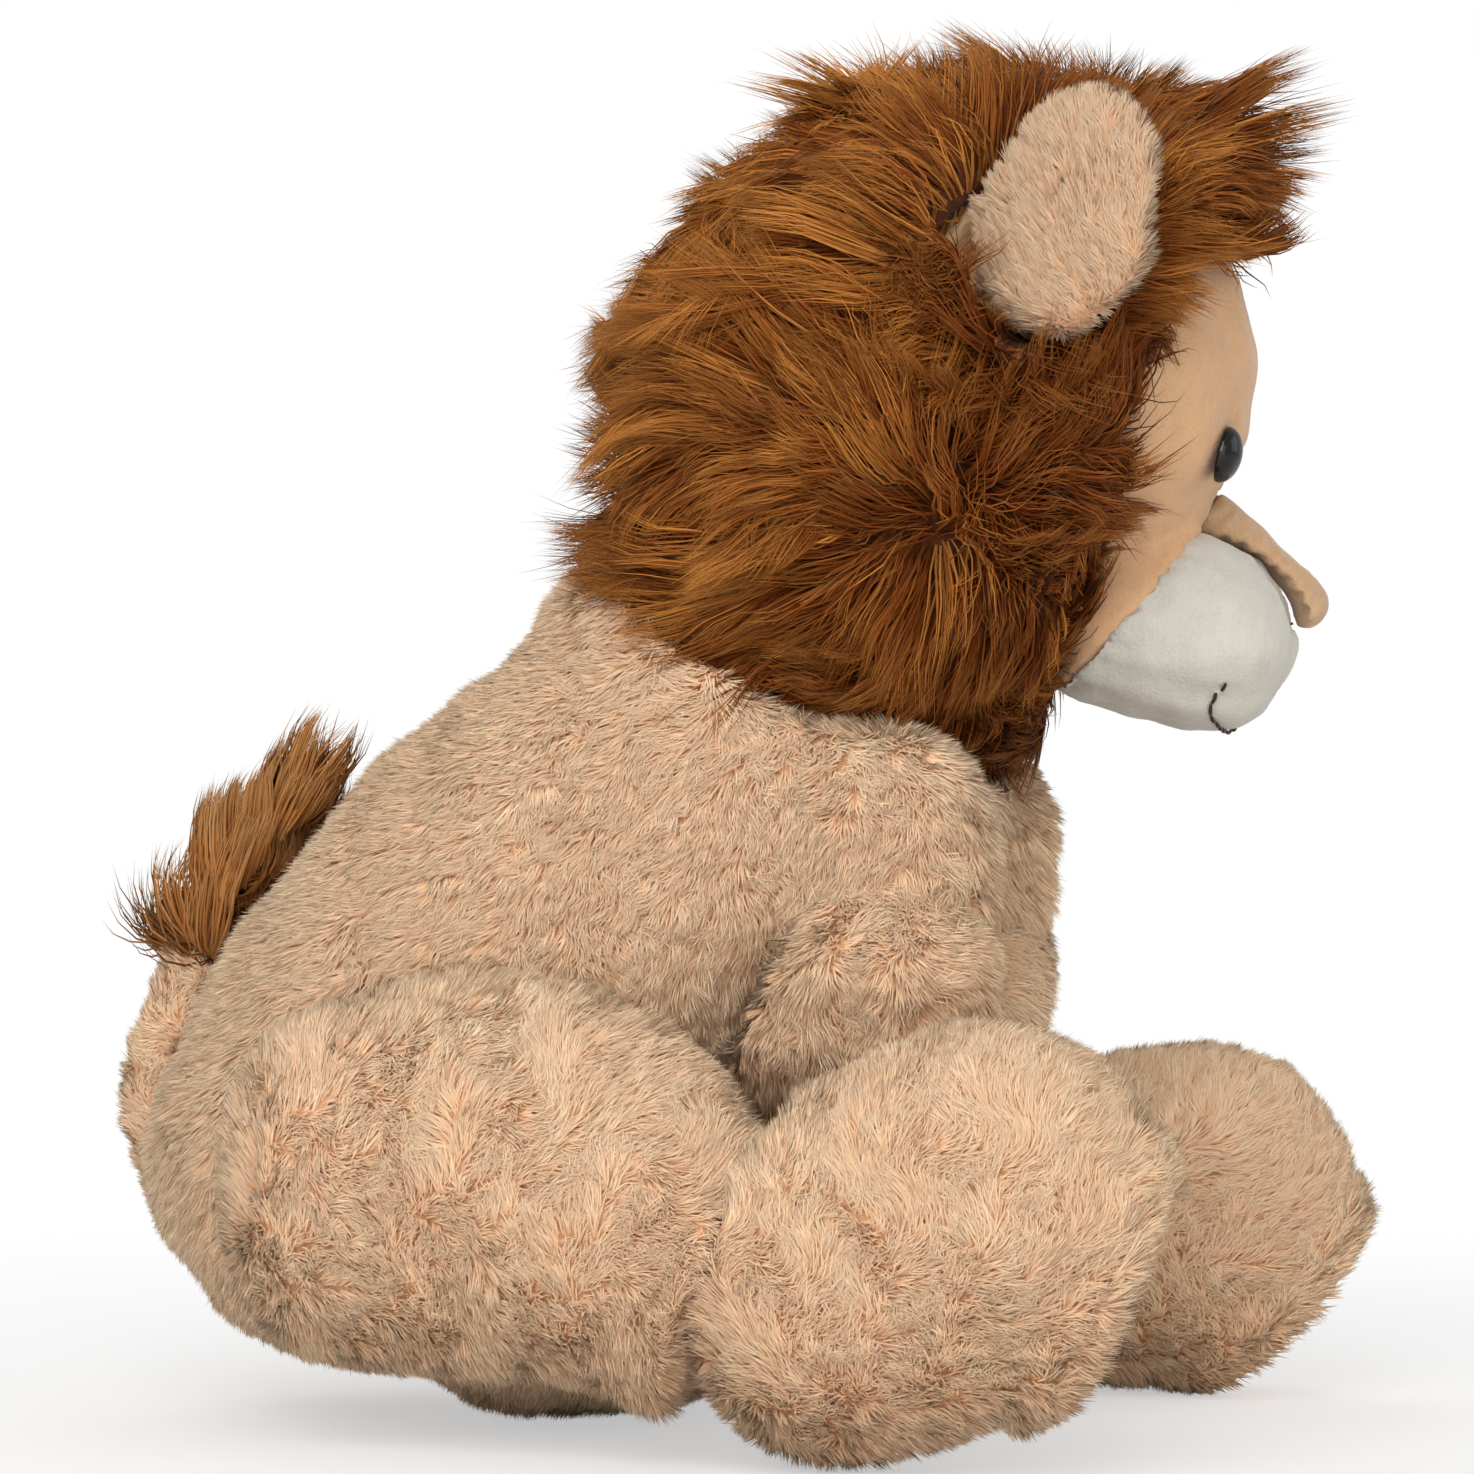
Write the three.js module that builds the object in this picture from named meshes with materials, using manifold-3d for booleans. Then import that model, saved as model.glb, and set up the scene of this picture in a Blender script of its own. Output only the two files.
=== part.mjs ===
// Seated plush lion, in millimetres, +Z up, facing -Y, its right side towards -X.
// Places are measured from the floor under the seat, and a forward place is its Y, so
// it is negative ahead of the seat. The finished group is then moved so that the origin
// is the middle of the lion's footprint, on the floor.
import * as THREE from 'three';
import { mergeVertices } from 'three/addons/utils/BufferGeometryUtils.js';
import Module from 'manifold-3d';

const wasm = await Module();
wasm.setup();

// Clearances and cloth
const GAP = 0.3; // between pieces that are sewn or pressed together
const PILE_WALL = 9; // pile cloth with its backing and short fur
const SMOOTH_WALL = 4; // short smooth cloth of the face, with its backing
const FLOOR_CUT = 0.5; // depth to which a form that rests on the floor is flattened
const OVERRUN = 400; // reach of a cut past the lion

// Torso, a pear of level sections that leans forward from the seat to the neck
const TORSO = {
  baseForward: -40,
  baseHeight: 60,
  baseHalfWidth: 110,
  baseHalfDepth: 96,
  baseRound: 60,
  seatForward: 16,
  seatHeight: 100,
  seatHalfWidth: 134,
  seatHalfDepth: 142,
  waistForward: 2,
  waistHeight: 152,
  waistHalfWidth: 130,
  waistHalfDepth: 146,
  bellyForward: -42,
  bellyHeight: 215,
  bellyHalfWidth: 118,
  bellyHalfDepth: 163,
  chestForward: -88,
  chestHeight: 281,
  chestHalfWidth: 106,
  chestHalfDepth: 145,
  neckForward: -122,
  neckHeight: 340,
  neckHalfWidth: 92,
  neckHalfDepth: 104,
  neckRound: 45,
};

// The rump, which fills out the bottom of the torso behind the seat
const RUMP = {
  forward: 62,
  height: 113,
  halfWidth: 120,
  halfDepth: 98,
  halfHeight: 94,
};

// Neck, where the round head and mane roll in a hollow of the torso
const NECK = {
  pivotForward: -188,
  pivotHeight: 414,
  lean: 32, // degrees forward of upright
  turn: 15, // degrees that the head looks to its left
  seatRadius: 140,
  wadRadius: 60, // wad of filling that stands in the neck
  wadInner: 112,
};

// The head's own places are measured from the neck's pivot, before it is turned
const SKULL = {
  forward: -21,
  up: 38,
  halfWidth: 116,
  halfDepth: 125,
  halfHeight: 110,
};

const HAIRLINE = {
  forward: -78,
  up: -8,
  tilt: 13.5, // degrees, its top leans forward
};

const MUZZLE = {
  sideways: 22, // middle of each lobe
  backForward: -80,
  backUp: -64,
  frontForward: -119,
  frontUp: -76,
  halfWidth: 44,
  halfHeight: 42,
  round: 46,
  seamForward: -122, // top corner of the white cloth
  seamUp: -22,
  seamSlope: 49, // degrees that its rear seam falls towards the jaw
};

const BRIDGE = {
  topForward: -116,
  topUp: -22,
  noseForward: -160,
  noseUp: -64,
  topHalfWidth: 16,
  noseHalfWidth: 24,
  halfThickness: 12,
  round: 13,
};

const EYE = {
  sideways: 44,
  up: 1,
  diameter: 24,
  domeHeight: 9,
  rimHeight: 1.2,
  shankDiameter: 5,
  shankLength: 20,
  ribs: 3,
  ribHeight: 0.5,
};

const WASHER = {
  diameter: 20,
  thickness: 2.4,
  collarDiameter: 10,
  collarHeight: 3,
  slack: 0.2, // round the shank's ribs
  dip: 2.6, // that the cloth curves away behind it
};

const MANE = {
  forward: -37,
  up: 23,
  halfWidth: 145,
  halfDepth: 145,
  halfHeight: 145,
  fringeForward: -108, // middle of the fringe that stands over the forehead
  fringeUp: 112,
  fringeHalfWidth: 84,
  fringeHalfDepth: 48,
  fringeHalfHeight: 50,
};

const EAR = {
  rootSideways: 120,
  rootForward: -46,
  rootUp: 66,
  length: 100,
  rootHalfWidth: 30,
  halfWidth: 47,
  tipHalfWidth: 38,
  halfThickness: 12,
  tipRound: 32,
  lean: 22, // degrees forward
  splay: 4, // degrees outward
  facing: 50, // degrees that the lining looks inward of forward
  liningThickness: 8,
  slotAngle: 16, // degrees either way that the mane leaves free round the ear
};

const ARM = {
  shoulderSideways: 78,
  shoulderForward: -188,
  shoulderHeight: 252,
  shoulderRadius: 39,
  hollowRadius: 53, // that the torso leaves free round the shoulder
  wristSideways: 64,
  wristForward: -186,
  wristHeight: 206,
  wristHalfWidth: 38,
  wristHalfDepth: 43,
  pawSideways: 50,
  pawForward: -170,
  pawHeight: 156,
  pawHalfWidth: 40,
  pawHalfDepth: 60,
  pawRound: 40,
};

const LEG = {
  hipSideways: 132,
  hipForward: 20,
  hipHeight: 109,
  hipRadius: 60,
  hipHalfHeight: 80,
  kneeSideways: 136,
  kneeForward: -62,
  kneeHalfWidth: 58,
  kneeHalfHeight: 84,
  ankleSideways: 146,
  ankleForward: -130,
  ankleHeight: 76,
  ankleHalfWidth: 54,
  ankleHalfHeight: 62,
};

const FOOT = {
  heelSideways: 150,
  heelForward: -180,
  heelHeight: 72,
  heelHalfWidth: 56,
  heelHalfHeight: 74,
  heelRound: 60,
  toeSideways: 152,
  toeForward: -252,
  toeHeight: 102,
  toeHalfWidth: 60,
  toeHalfHeight: 81,
  toeRound: 72,
  soleForward: -301, // middle of the sole's seam
  soleHeight: 92,
  soleTilt: 26, // degrees that the sole looks down
  soleDepth: 13, // that the sole stands beyond its seam
  seamForward: -142, // middle of the ankle's seam
  seamHeight: 74,
  seamTilt: 22, // degrees that it leans forward
};

const TAIL = {
  rootForward: 146,
  rootHeight: 84,
  bendForward: 165,
  bendHeight: 136,
  tipForward: 142,
  tipHeight: 200,
  radius: 21,
  tuftForward: 100,
  tuftHeight: 268,
  tuftRadius: 27,
  tuftEndRadius: 15,
  tuftRound: 26,
};

// Each side's own rest pose: how far back its arm hangs, how far forward its foot
// reaches, how many degrees that foot tips over its toe, and how many its sole looks
// towards the lion's left
const SIDE_LIST = [
  { name: 'right', sign: -1, armBack: 0, reach: 0, tip: 0, soleTurn: 15 },
  { name: 'left', sign: 1, armBack: 5, reach: 25, tip: 17, soleTurn: 24 },
];

// How finely the forms are drawn
const FINE_SIDES = 32;
const SIDES = 20;
const FEW_SIDES = 16;
const ROUND_RINGS = 4;

const COLOURS = {
  tanPile: 0xdcb892,
  tanSmooth: 0xd8ac80,
  white: 0xe6e3dc,
  mane: 0x96501e,
  tuft: 0xa0692f,
  black: 0x0b0b0c,
  washer: 0xd8d8d2,
  filling: 0xf1f1ee,
};

const rad = THREE.MathUtils.degToRad;
const point = (x, y, z) => new THREE.Vector3(x, y, z);
const X_AXIS = point(1, 0, 0);
const Y_AXIS = point(0, 1, 0);
const Z_AXIS = point(0, 0, 1);

// Materials
function cloth(color) {
  return new THREE.MeshStandardMaterial({ color, roughness: 0.95, metalness: 0 });
}

function plastic(color, roughness) {
  return new THREE.MeshStandardMaterial({ color, roughness, metalness: 0 });
}

// A stuffed lobe: oval loops along a spine, with a rounded end at each side.
// Stations are [place, half width, half depth], and inset shrinks the lobe all round.
// The loops of a level lobe stay level, others turn with the spine.
function lobe({ stations, rounds, rings = 8, sides = SIDES, sideways = X_AXIS, level = false, inset = 0 }) {
  const spine = new THREE.CatmullRomCurve3(stations.map(([at]) => at), false, 'centripetal');
  const halves = stations.map(([, width, depth]) => point(width - inset, depth - inset, 0));
  const sizes = new THREE.CatmullRomCurve3(halves, false, 'centripetal');
  const [startRound, endRound] = rounds.map((length) => length - inset);
  const heading = (t) => (level ? Z_AXIS.clone() : spine.getTangent(t));
  const loops = [];

  function addLoop(t, slide, shrink) {
    const tangent = heading(t);
    const side = sideways.clone().addScaledVector(tangent, -sideways.dot(tangent)).normalize();
    const across = tangent.clone().cross(side);
    const middle = spine.getPoint(t).addScaledVector(tangent, slide);
    const half = sizes.getPoint(t).multiplyScalar(shrink);
    const loop = [];
    for (let i = 0; i < sides; i += 1) {
      const turn = (2 * Math.PI * i) / sides;
      const edge = middle.clone().addScaledVector(side, Math.cos(turn) * half.x);
      loop.push(edge.addScaledVector(across, Math.sin(turn) * half.y));
    }
    loops.push(loop);
  }

  const lift = (i) => ((Math.PI / 2) * i) / (ROUND_RINGS + 1);
  for (let i = 1; i <= ROUND_RINGS; i += 1) addLoop(0, -Math.cos(lift(i)) * startRound, Math.sin(lift(i)));
  for (let i = 0; i <= rings; i += 1) addLoop(i / rings, 0, 1);
  for (let i = ROUND_RINGS; i > 0; i -= 1) addLoop(1, Math.cos(lift(i)) * endRound, Math.sin(lift(i)));
  const startPole = spine.getPoint(0).addScaledVector(heading(0), -startRound);
  const endPole = spine.getPoint(1).addScaledVector(heading(1), endRound);
  return skinLoops(loops, startPole, endPole);
}

// A closed skin over a stack of loops and its two poles
function skinLoops(loops, startPole, endPole) {
  const sides = loops[0].length;
  const points = [startPole, ...loops.flat(), endPole];
  const last = points.length - 1;
  const id = (loop, i) => 1 + loop * sides + (i % sides);
  const faces = [];
  for (let i = 0; i < sides; i += 1) {
    faces.push(0, id(0, i + 1), id(0, i));
    faces.push(last, id(loops.length - 1, i), id(loops.length - 1, i + 1));
  }
  for (let loop = 0; loop < loops.length - 1; loop += 1) {
    for (let i = 0; i < sides; i += 1) {
      faces.push(id(loop, i), id(loop, i + 1), id(loop + 1, i + 1));
      faces.push(id(loop, i), id(loop + 1, i + 1), id(loop + 1, i));
    }
  }
  const geometry = new THREE.BufferGeometry();
  geometry.setAttribute('position', new THREE.Float32BufferAttribute(points.flatMap((p) => p.toArray()), 3));
  geometry.setIndex(faces);
  return geometry;
}

// An upright egg with its poles at top and bottom
function egg(centre, halfWidth, halfDepth, halfHeight, sides = SIDES) {
  const geometry = new THREE.SphereGeometry(1, sides, sides / 2);
  geometry.rotateX(Math.PI / 2).scale(halfWidth, halfDepth, halfHeight);
  return geometry.translate(centre.x, centre.y, centre.z);
}

// A radius whose faceted sphere just holds a smooth one
function around(radius, sides = FEW_SIDES) {
  return radius / Math.cos(Math.PI / sides) ** 2;
}

// Solids
function solid(geometry) {
  const bare = geometry.clone();
  bare.deleteAttribute('normal');
  bare.deleteAttribute('uv');
  const merged = mergeVertices(bare);
  return new wasm.Manifold(
    new wasm.Mesh({
      numProp: 3,
      vertProperties: new Float32Array(merged.attributes.position.array),
      triVerts: new Uint32Array(merged.index.array),
    }),
  );
}

function join(first, ...others) {
  return others.reduce((sum, body) => sum.add(body), first);
}

function cut(first, ...tools) {
  return tools.reduce((left, tool) => left.subtract(tool), first);
}

function common(first, ...others) {
  return others.reduce((left, body) => left.intersect(body), first);
}

// All space on the side of a plane that its normal points to, from a distance beyond it
function halfSpace(through, normal, beyond = 0) {
  const block = new THREE.BoxGeometry(2 * OVERRUN, 2 * OVERRUN, OVERRUN);
  block.translate(0, 0, OVERRUN / 2 + beyond);
  block.applyQuaternion(new THREE.Quaternion().setFromUnitVectors(Z_AXIS, normal));
  return solid(block.translate(through.x, through.y, through.z));
}

function ball(centre, radius, sides = FEW_SIDES) {
  const geometry = new THREE.SphereGeometry(radius, sides, sides / 2);
  return solid(geometry.rotateX(Math.PI / 2).translate(centre.x, centre.y, centre.z));
}

// A round bar from a point along a direction
function bar(from, direction, length, radius) {
  const geometry = new THREE.CylinderGeometry(radius, radius, length, SIDES).rotateX(Math.PI / 2);
  geometry.translate(0, 0, length / 2);
  geometry.applyQuaternion(new THREE.Quaternion().setFromUnitVectors(Z_AXIS, direction));
  return solid(geometry.translate(from.x, from.y, from.z));
}

// Adds a solid to a group as a named mesh
function place(group, name, body, material) {
  const made = body.getMesh();
  const geometry = new THREE.BufferGeometry();
  geometry.setAttribute('position', new THREE.Float32BufferAttribute(made.vertProperties, 3));
  geometry.setIndex(Array.from(made.triVerts));
  const mesh = new THREE.Mesh(geometry, material);
  mesh.name = name;
  group.add(mesh);
}

const floorPoint = point(0, 0, 0);
const belowFloor = halfSpace(floorPoint, Z_AXIS.clone().negate());
const neckPivot = point(0, NECK.pivotForward, NECK.pivotHeight);
const neckAxis = point(0, -Math.sin(rad(NECK.lean)), Math.cos(rad(NECK.lean)));
const downNeck = neckAxis.clone().negate();

// How far a form has to rise to go FLOOR_CUT into the floor
function riseToFloor(geometry) {
  geometry.computeBoundingBox();
  return -FLOOR_CUT - geometry.boundingBox.min.z;
}

// Torso
function torsoGeometry(inset = 0) {
  const t = TORSO;
  return lobe({
    stations: [
      [point(0, t.baseForward, t.baseHeight), t.baseHalfWidth, t.baseHalfDepth],
      [point(0, t.seatForward, t.seatHeight), t.seatHalfWidth, t.seatHalfDepth],
      [point(0, t.waistForward, t.waistHeight), t.waistHalfWidth, t.waistHalfDepth],
      [point(0, t.bellyForward, t.bellyHeight), t.bellyHalfWidth, t.bellyHalfDepth],
      [point(0, t.chestForward, t.chestHeight), t.chestHalfWidth, t.chestHalfDepth],
      [point(0, t.neckForward, t.neckHeight), t.neckHalfWidth, t.neckHalfDepth],
    ],
    rounds: [t.baseRound, t.neckRound],
    rings: 10,
    level: true,
    inset,
  });
}

const torsoRise = riseToFloor(torsoGeometry());

function torsoForm(inset = 0) {
  const r = RUMP;
  const middle = point(0, r.forward, r.height);
  const rump = egg(middle, r.halfWidth - inset, r.halfDepth - inset, r.halfHeight - inset, FEW_SIDES);
  return join(solid(torsoGeometry(inset).translate(0, 0, torsoRise)), solid(rump));
}

// Limbs
function limbPoint(side, sideways, forward, height) {
  return point(side.sign * sideways, forward, height);
}

function armPoint(side, sideways, forward, height) {
  return limbPoint(side, sideways, forward + side.armBack, height);
}

function shoulder(side) {
  return armPoint(side, ARM.shoulderSideways, ARM.shoulderForward, ARM.shoulderHeight);
}

function hip(side) {
  return limbPoint(side, LEG.hipSideways, LEG.hipForward, LEG.hipHeight);
}

function armForm(side) {
  const a = ARM;
  return solid(
    lobe({
      stations: [
        [shoulder(side), a.shoulderRadius, a.shoulderRadius],
        [armPoint(side, a.wristSideways, a.wristForward, a.wristHeight), a.wristHalfWidth, a.wristHalfDepth],
        [armPoint(side, a.pawSideways, a.pawForward, a.pawHeight), a.pawHalfWidth, a.pawHalfDepth],
      ],
      rounds: [a.shoulderRadius, a.pawRound],
      rings: 6,
      sides: FEW_SIDES,
    }),
  );
}

function legForm(side) {
  const l = LEG;
  const knee = limbPoint(side, l.kneeSideways, l.kneeForward, l.hipHeight);
  const ankle = limbPoint(side, l.ankleSideways, l.ankleForward - side.reach, l.ankleHeight);
  return solid(
    lobe({
      stations: [
        [hip(side), l.hipRadius, l.hipHalfHeight],
        [knee, l.kneeHalfWidth, l.kneeHalfHeight],
        [ankle, l.ankleHalfWidth, l.ankleHalfHeight],
      ],
      rounds: [l.hipRadius, l.ankleHalfWidth],
      sides: FEW_SIDES,
    }),
  );
}

// The foot's lobe and the plane of its sole's seam, tipped and set on the floor
function footForm(side) {
  const f = FOOT;
  const heel = limbPoint(side, f.heelSideways, f.heelForward, f.heelHeight);
  const toe = limbPoint(side, f.toeSideways, f.toeForward, f.toeHeight);
  const form = lobe({
    stations: [
      [heel, f.heelHalfWidth, f.heelHalfHeight],
      [toe, f.toeHalfWidth, f.toeHalfHeight],
    ],
    rounds: [f.heelRound, f.toeRound],
    rings: 3,
    sides: FEW_SIDES,
  });
  const tip = new THREE.Matrix4().makeRotationX(rad(side.tip));
  const toHeel = new THREE.Matrix4().makeTranslation(0, f.heelForward - side.reach, f.heelHeight);
  const fromHeel = new THREE.Matrix4().makeTranslation(0, -f.heelForward, -f.heelHeight);
  const pose = toHeel.multiply(tip).multiply(fromHeel);
  form.applyMatrix4(pose);
  const rise = riseToFloor(form);
  const soleMiddle = point(side.sign * f.toeSideways, f.soleForward, f.soleHeight).applyMatrix4(pose);
  soleMiddle.z += rise;
  const soleNormal = tiltedForward(-f.soleTilt).applyAxisAngle(X_AXIS, rad(side.tip));
  soleNormal.applyAxisAngle(Z_AXIS, rad(side.soleTurn));
  const whole = solid(form.translate(0, 0, rise));
  return { form: cut(whole, halfSpace(soleMiddle, soleNormal, f.soleDepth)), soleMiddle, soleNormal };
}

// Straight forward, tilted up by so many degrees
function tiltedForward(degrees) {
  return point(0, -Math.cos(rad(degrees)), Math.sin(rad(degrees)));
}

function addLimbs(group) {
  const torsoSkin = torsoForm(-GAP);
  for (const side of SIDE_LIST) {
    const torsoLeft = cut(torsoSkin, ...limbEnds(side));
    const seam = point(0, FOOT.seamForward - side.reach, FOOT.seamHeight);
    const seamNormal = tiltedForward(-FOOT.seamTilt);
    const behind = seamNormal.clone().negate();
    const foot = footForm(side);
    const furry = cloth(COLOURS.tanPile);
    const upper = cut(foot.form, belowFloor, torsoLeft, halfSpace(seam, behind));
    place(group, `arm_${side.name}`, cut(armForm(side), torsoLeft), furry);
    place(group, `leg_${side.name}`, cut(legForm(side), torsoLeft, halfSpace(seam, seamNormal, -GAP)), furry);
    place(group, `foot_${side.name}`, cut(upper, halfSpace(foot.soleMiddle, foot.soleNormal)), furry);
    place(group, `sole_${side.name}`, common(upper, halfSpace(foot.soleMiddle, foot.soleNormal, GAP)), furry);
  }
}

// The round ends that the arm and the leg turn on
function limbEnds(side) {
  const end = egg(hip(side), LEG.hipRadius, LEG.hipRadius, LEG.hipHalfHeight, FEW_SIDES);
  return [ball(shoulder(side), ARM.shoulderRadius), solid(end)];
}

// The hollows that those ends turn in
function limbSockets(side) {
  const radius = around(LEG.hipRadius) + GAP;
  const hollow = egg(hip(side), radius, radius, around(LEG.hipHalfHeight) + GAP, FEW_SIDES);
  return [ball(shoulder(side), ARM.hollowRadius), solid(hollow)];
}

// Tail
const tailRoot = point(0, TAIL.rootForward, TAIL.rootHeight);
const tailTip = point(0, TAIL.tipForward, TAIL.tipHeight);
const tailEnd = point(0, TAIL.tuftForward, TAIL.tuftHeight);

function addTail(group) {
  const t = TAIL;
  const bend = point(0, t.bendForward, t.bendHeight);
  const onward = tailEnd.clone().sub(tailTip).normalize();
  const torsoLeft = cut(torsoForm(-GAP), ball(tailRoot, t.radius));
  const tail = lobe({
    stations: [
      [tailRoot, t.radius, t.radius],
      [bend, t.radius, t.radius],
      [tailTip, t.radius, t.radius],
    ],
    rounds: [t.radius, t.radius],
    sides: FEW_SIDES,
  });
  const tuft = lobe({
    stations: [
      [tailTip, t.radius, t.radius],
      [tailTip.clone().lerp(tailEnd, 0.5), t.tuftRadius, t.tuftRadius],
      [tailEnd, t.tuftEndRadius, t.tuftEndRadius],
    ],
    rounds: [t.radius, t.tuftRound],
    rings: 6,
    sides: FEW_SIDES,
  });
  const furry = cloth(COLOURS.tanPile);
  place(group, 'tail', cut(solid(tail), torsoLeft, halfSpace(tailTip, onward, -GAP)), furry);
  const loose = cut(solid(tuft), torsoLeft, halfSpace(tailTip, onward.clone().negate()));
  place(group, 'tail_tuft', loose, cloth(COLOURS.tuft));
}

// The torso's cover is a bag, open at the neck, and its filling lies inside it
function addTorso(group) {
  const seat = ball(neckPivot, around(NECK.seatRadius, FINE_SIDES) + GAP, FINE_SIDES);
  const sockets = [...SIDE_LIST.flatMap(limbSockets), ball(tailRoot, around(TAIL.radius) + GAP), seat];
  place(group, 'torso_cover', cut(torsoForm(), torsoForm(PILE_WALL), belowFloor, ...sockets), cloth(COLOURS.tanPile));
  place(group, 'torso_filling', cut(torsoForm(PILE_WALL + GAP), ...sockets), cloth(COLOURS.filling));
  const wad = common(ball(neckPivot, NECK.seatRadius, FINE_SIDES), bar(neckPivot, downNeck, OVERRUN, NECK.wadRadius));
  place(group, 'neck_filling', cut(wad, ball(neckPivot, NECK.wadInner, FINE_SIDES)), cloth(COLOURS.filling));
}

// Head, in its own frame about the neck's pivot
const headOrigin = point(0, 0, 0);
const hairline = point(0, HAIRLINE.forward, HAIRLINE.up);
const faceNormal = tiltedForward(-HAIRLINE.tilt);
const muzzleCorner = point(0, MUZZLE.seamForward, MUZZLE.seamUp);
const muzzleNormal = tiltedForward(MUZZLE.seamSlope - 90);

function muzzleForm(side, inset) {
  const m = MUZZLE;
  const at = (forward, up) => point(side.sign * m.sideways, forward, up);
  return solid(
    lobe({
      stations: [
        [at(m.backForward, m.backUp), m.halfWidth, m.halfHeight],
        [at(m.frontForward, m.frontUp), m.halfWidth, m.halfHeight],
      ],
      rounds: [m.round, m.round],
      rings: 2,
      sides: FEW_SIDES,
      inset,
    }),
  );
}

// The head's outside, without the mane
function skullGeometry(inset = 0) {
  const s = SKULL;
  return egg(point(0, s.forward, s.up), s.halfWidth - inset, s.halfDepth - inset, s.halfHeight - inset);
}

function headForm(inset = 0) {
  return join(solid(skullGeometry(inset)), ...SIDE_LIST.map((side) => muzzleForm(side, inset)));
}

// Where an eye stands on the skull, straight back from ahead of it, and the way that it looks
function eyeSeat(side) {
  const ray = new THREE.Raycaster(point(side.sign * EYE.sideways, -OVERRUN, EYE.up), Y_AXIS);
  const [hit] = ray.intersectObject(new THREE.Mesh(skullGeometry()));
  return { at: hit.point, normal: hit.face.normal };
}

// A turned piece, its axis along the eye's and its zero at a height over the skull
function onEye(side, profile, height, sides) {
  const { at, normal } = eyeSeat(side);
  const geometry = new THREE.LatheGeometry(profile.map(([r, h]) => new THREE.Vector2(r, h)), sides);
  geometry.applyQuaternion(new THREE.Quaternion().setFromUnitVectors(Y_AXIS, normal));
  const from = at.clone().addScaledVector(normal, height);
  return solid(geometry.translate(from.x, from.y, from.z));
}

// A domed safety eye with its ribbed shank
function eyeForm(side) {
  const radius = EYE.diameter / 2;
  const shank = EYE.shankDiameter / 2;
  const pitch = EYE.shankLength / (2 * EYE.ribs + 1);
  const profile = [[0, -EYE.shankLength], [shank, -EYE.shankLength + EYE.ribHeight]];
  for (let i = EYE.ribs; i > 0; i -= 1) {
    const top = -2 * i * pitch + pitch;
    profile.push([shank, top - pitch / 2], [shank + EYE.ribHeight, top], [shank, top]);
  }
  profile.push([shank, 0], [radius, 0]);
  for (let i = 0; i <= ROUND_RINGS; i += 1) {
    const lift = ((Math.PI / 2) * i) / ROUND_RINGS;
    const rise = EYE.rimHeight + Math.sin(lift) * (EYE.domeHeight - EYE.rimHeight);
    profile.push([i < ROUND_RINGS ? Math.cos(lift) * radius : 0, rise]);
  }
  return onEye(side, profile, GAP, FEW_SIDES);
}

// How far the washer's face lies behind the skull's surface
const washerDepth = SMOOTH_WALL + GAP + WASHER.dip;
const washerBore = EYE.shankDiameter / 2 + EYE.ribHeight + WASHER.slack;

function washerForm(side) {
  const w = WASHER;
  const back = -w.thickness;
  const end = back - w.collarHeight;
  const profile = [
    [washerBore, 0],
    [washerBore, end],
    [w.collarDiameter / 2, end],
    [w.collarDiameter / 2, back],
    [w.diameter / 2, back],
    [w.diameter / 2, 0],
    [washerBore, 0],
  ];
  return onEye(side, profile, -washerDepth, FEW_SIDES);
}

function eyePockets(side) {
  const { at, normal } = eyeSeat(side);
  const inward = normal.clone().negate();
  const washerEnd = washerDepth + WASHER.thickness + WASHER.collarHeight + GAP;
  const shankPocket = bar(at, inward, EYE.shankLength + GAP, washerBore);
  return join(bar(at, inward, washerEnd, WASHER.diameter / 2 + GAP), shankPocket);
}

function shankHole(side) {
  const { at, normal } = eyeSeat(side);
  return bar(at.clone().addScaledVector(normal, SMOOTH_WALL), normal.clone().negate(), 3 * SMOOTH_WALL, washerBore);
}

// The face is a shell of smooth cloth, tan above and white round the muzzle
function addFace(group) {
  const shell = common(cut(headForm(), headForm(SMOOTH_WALL)), halfSpace(hairline, faceNormal, GAP));
  const holes = SIDE_LIST.map(shankHole);
  place(group, 'face', cut(shell, halfSpace(muzzleCorner, muzzleNormal), ...holes), cloth(COLOURS.tanSmooth));
  const white = common(shell, halfSpace(muzzleCorner, muzzleNormal, GAP));
  for (const side of SIDE_LIST) {
    const half = halfSpace(headOrigin, point(side.sign, 0, 0), GAP / 2);
    place(group, `muzzle_${side.name}`, common(white, half), cloth(COLOURS.white));
    place(group, `eye_${side.name}`, eyeForm(side), plastic(COLOURS.black, 0.08));
    place(group, `eye_washer_${side.name}`, washerForm(side), plastic(COLOURS.washer, 0.5));
  }
}

function addBridge(group) {
  const b = BRIDGE;
  const strip = lobe({
    stations: [
      [point(0, b.topForward, b.topUp), b.topHalfWidth, b.halfThickness],
      [point(0, b.noseForward, b.noseUp), b.noseHalfWidth, b.halfThickness],
    ],
    rounds: [b.round, b.round],
    rings: 4,
    sides: FEW_SIDES,
  });
  place(group, 'nose_bridge', cut(solid(strip), headForm(-GAP)), cloth(COLOURS.tanSmooth));
}

// Ears, flat lobes that stand through the mane
function earFrame(side) {
  const e = EAR;
  const root = point(side.sign * e.rootSideways, e.rootForward, e.rootUp);
  const up = Z_AXIS.clone().applyEuler(new THREE.Euler(rad(e.lean), side.sign * rad(e.splay), 0));
  const turned = X_AXIS.clone().applyAxisAngle(Z_AXIS, -side.sign * rad(e.facing));
  const wide = turned.addScaledVector(up, -turned.dot(up)).normalize();
  return { root, up, wide, front: wide.clone().cross(up).normalize() };
}

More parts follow.
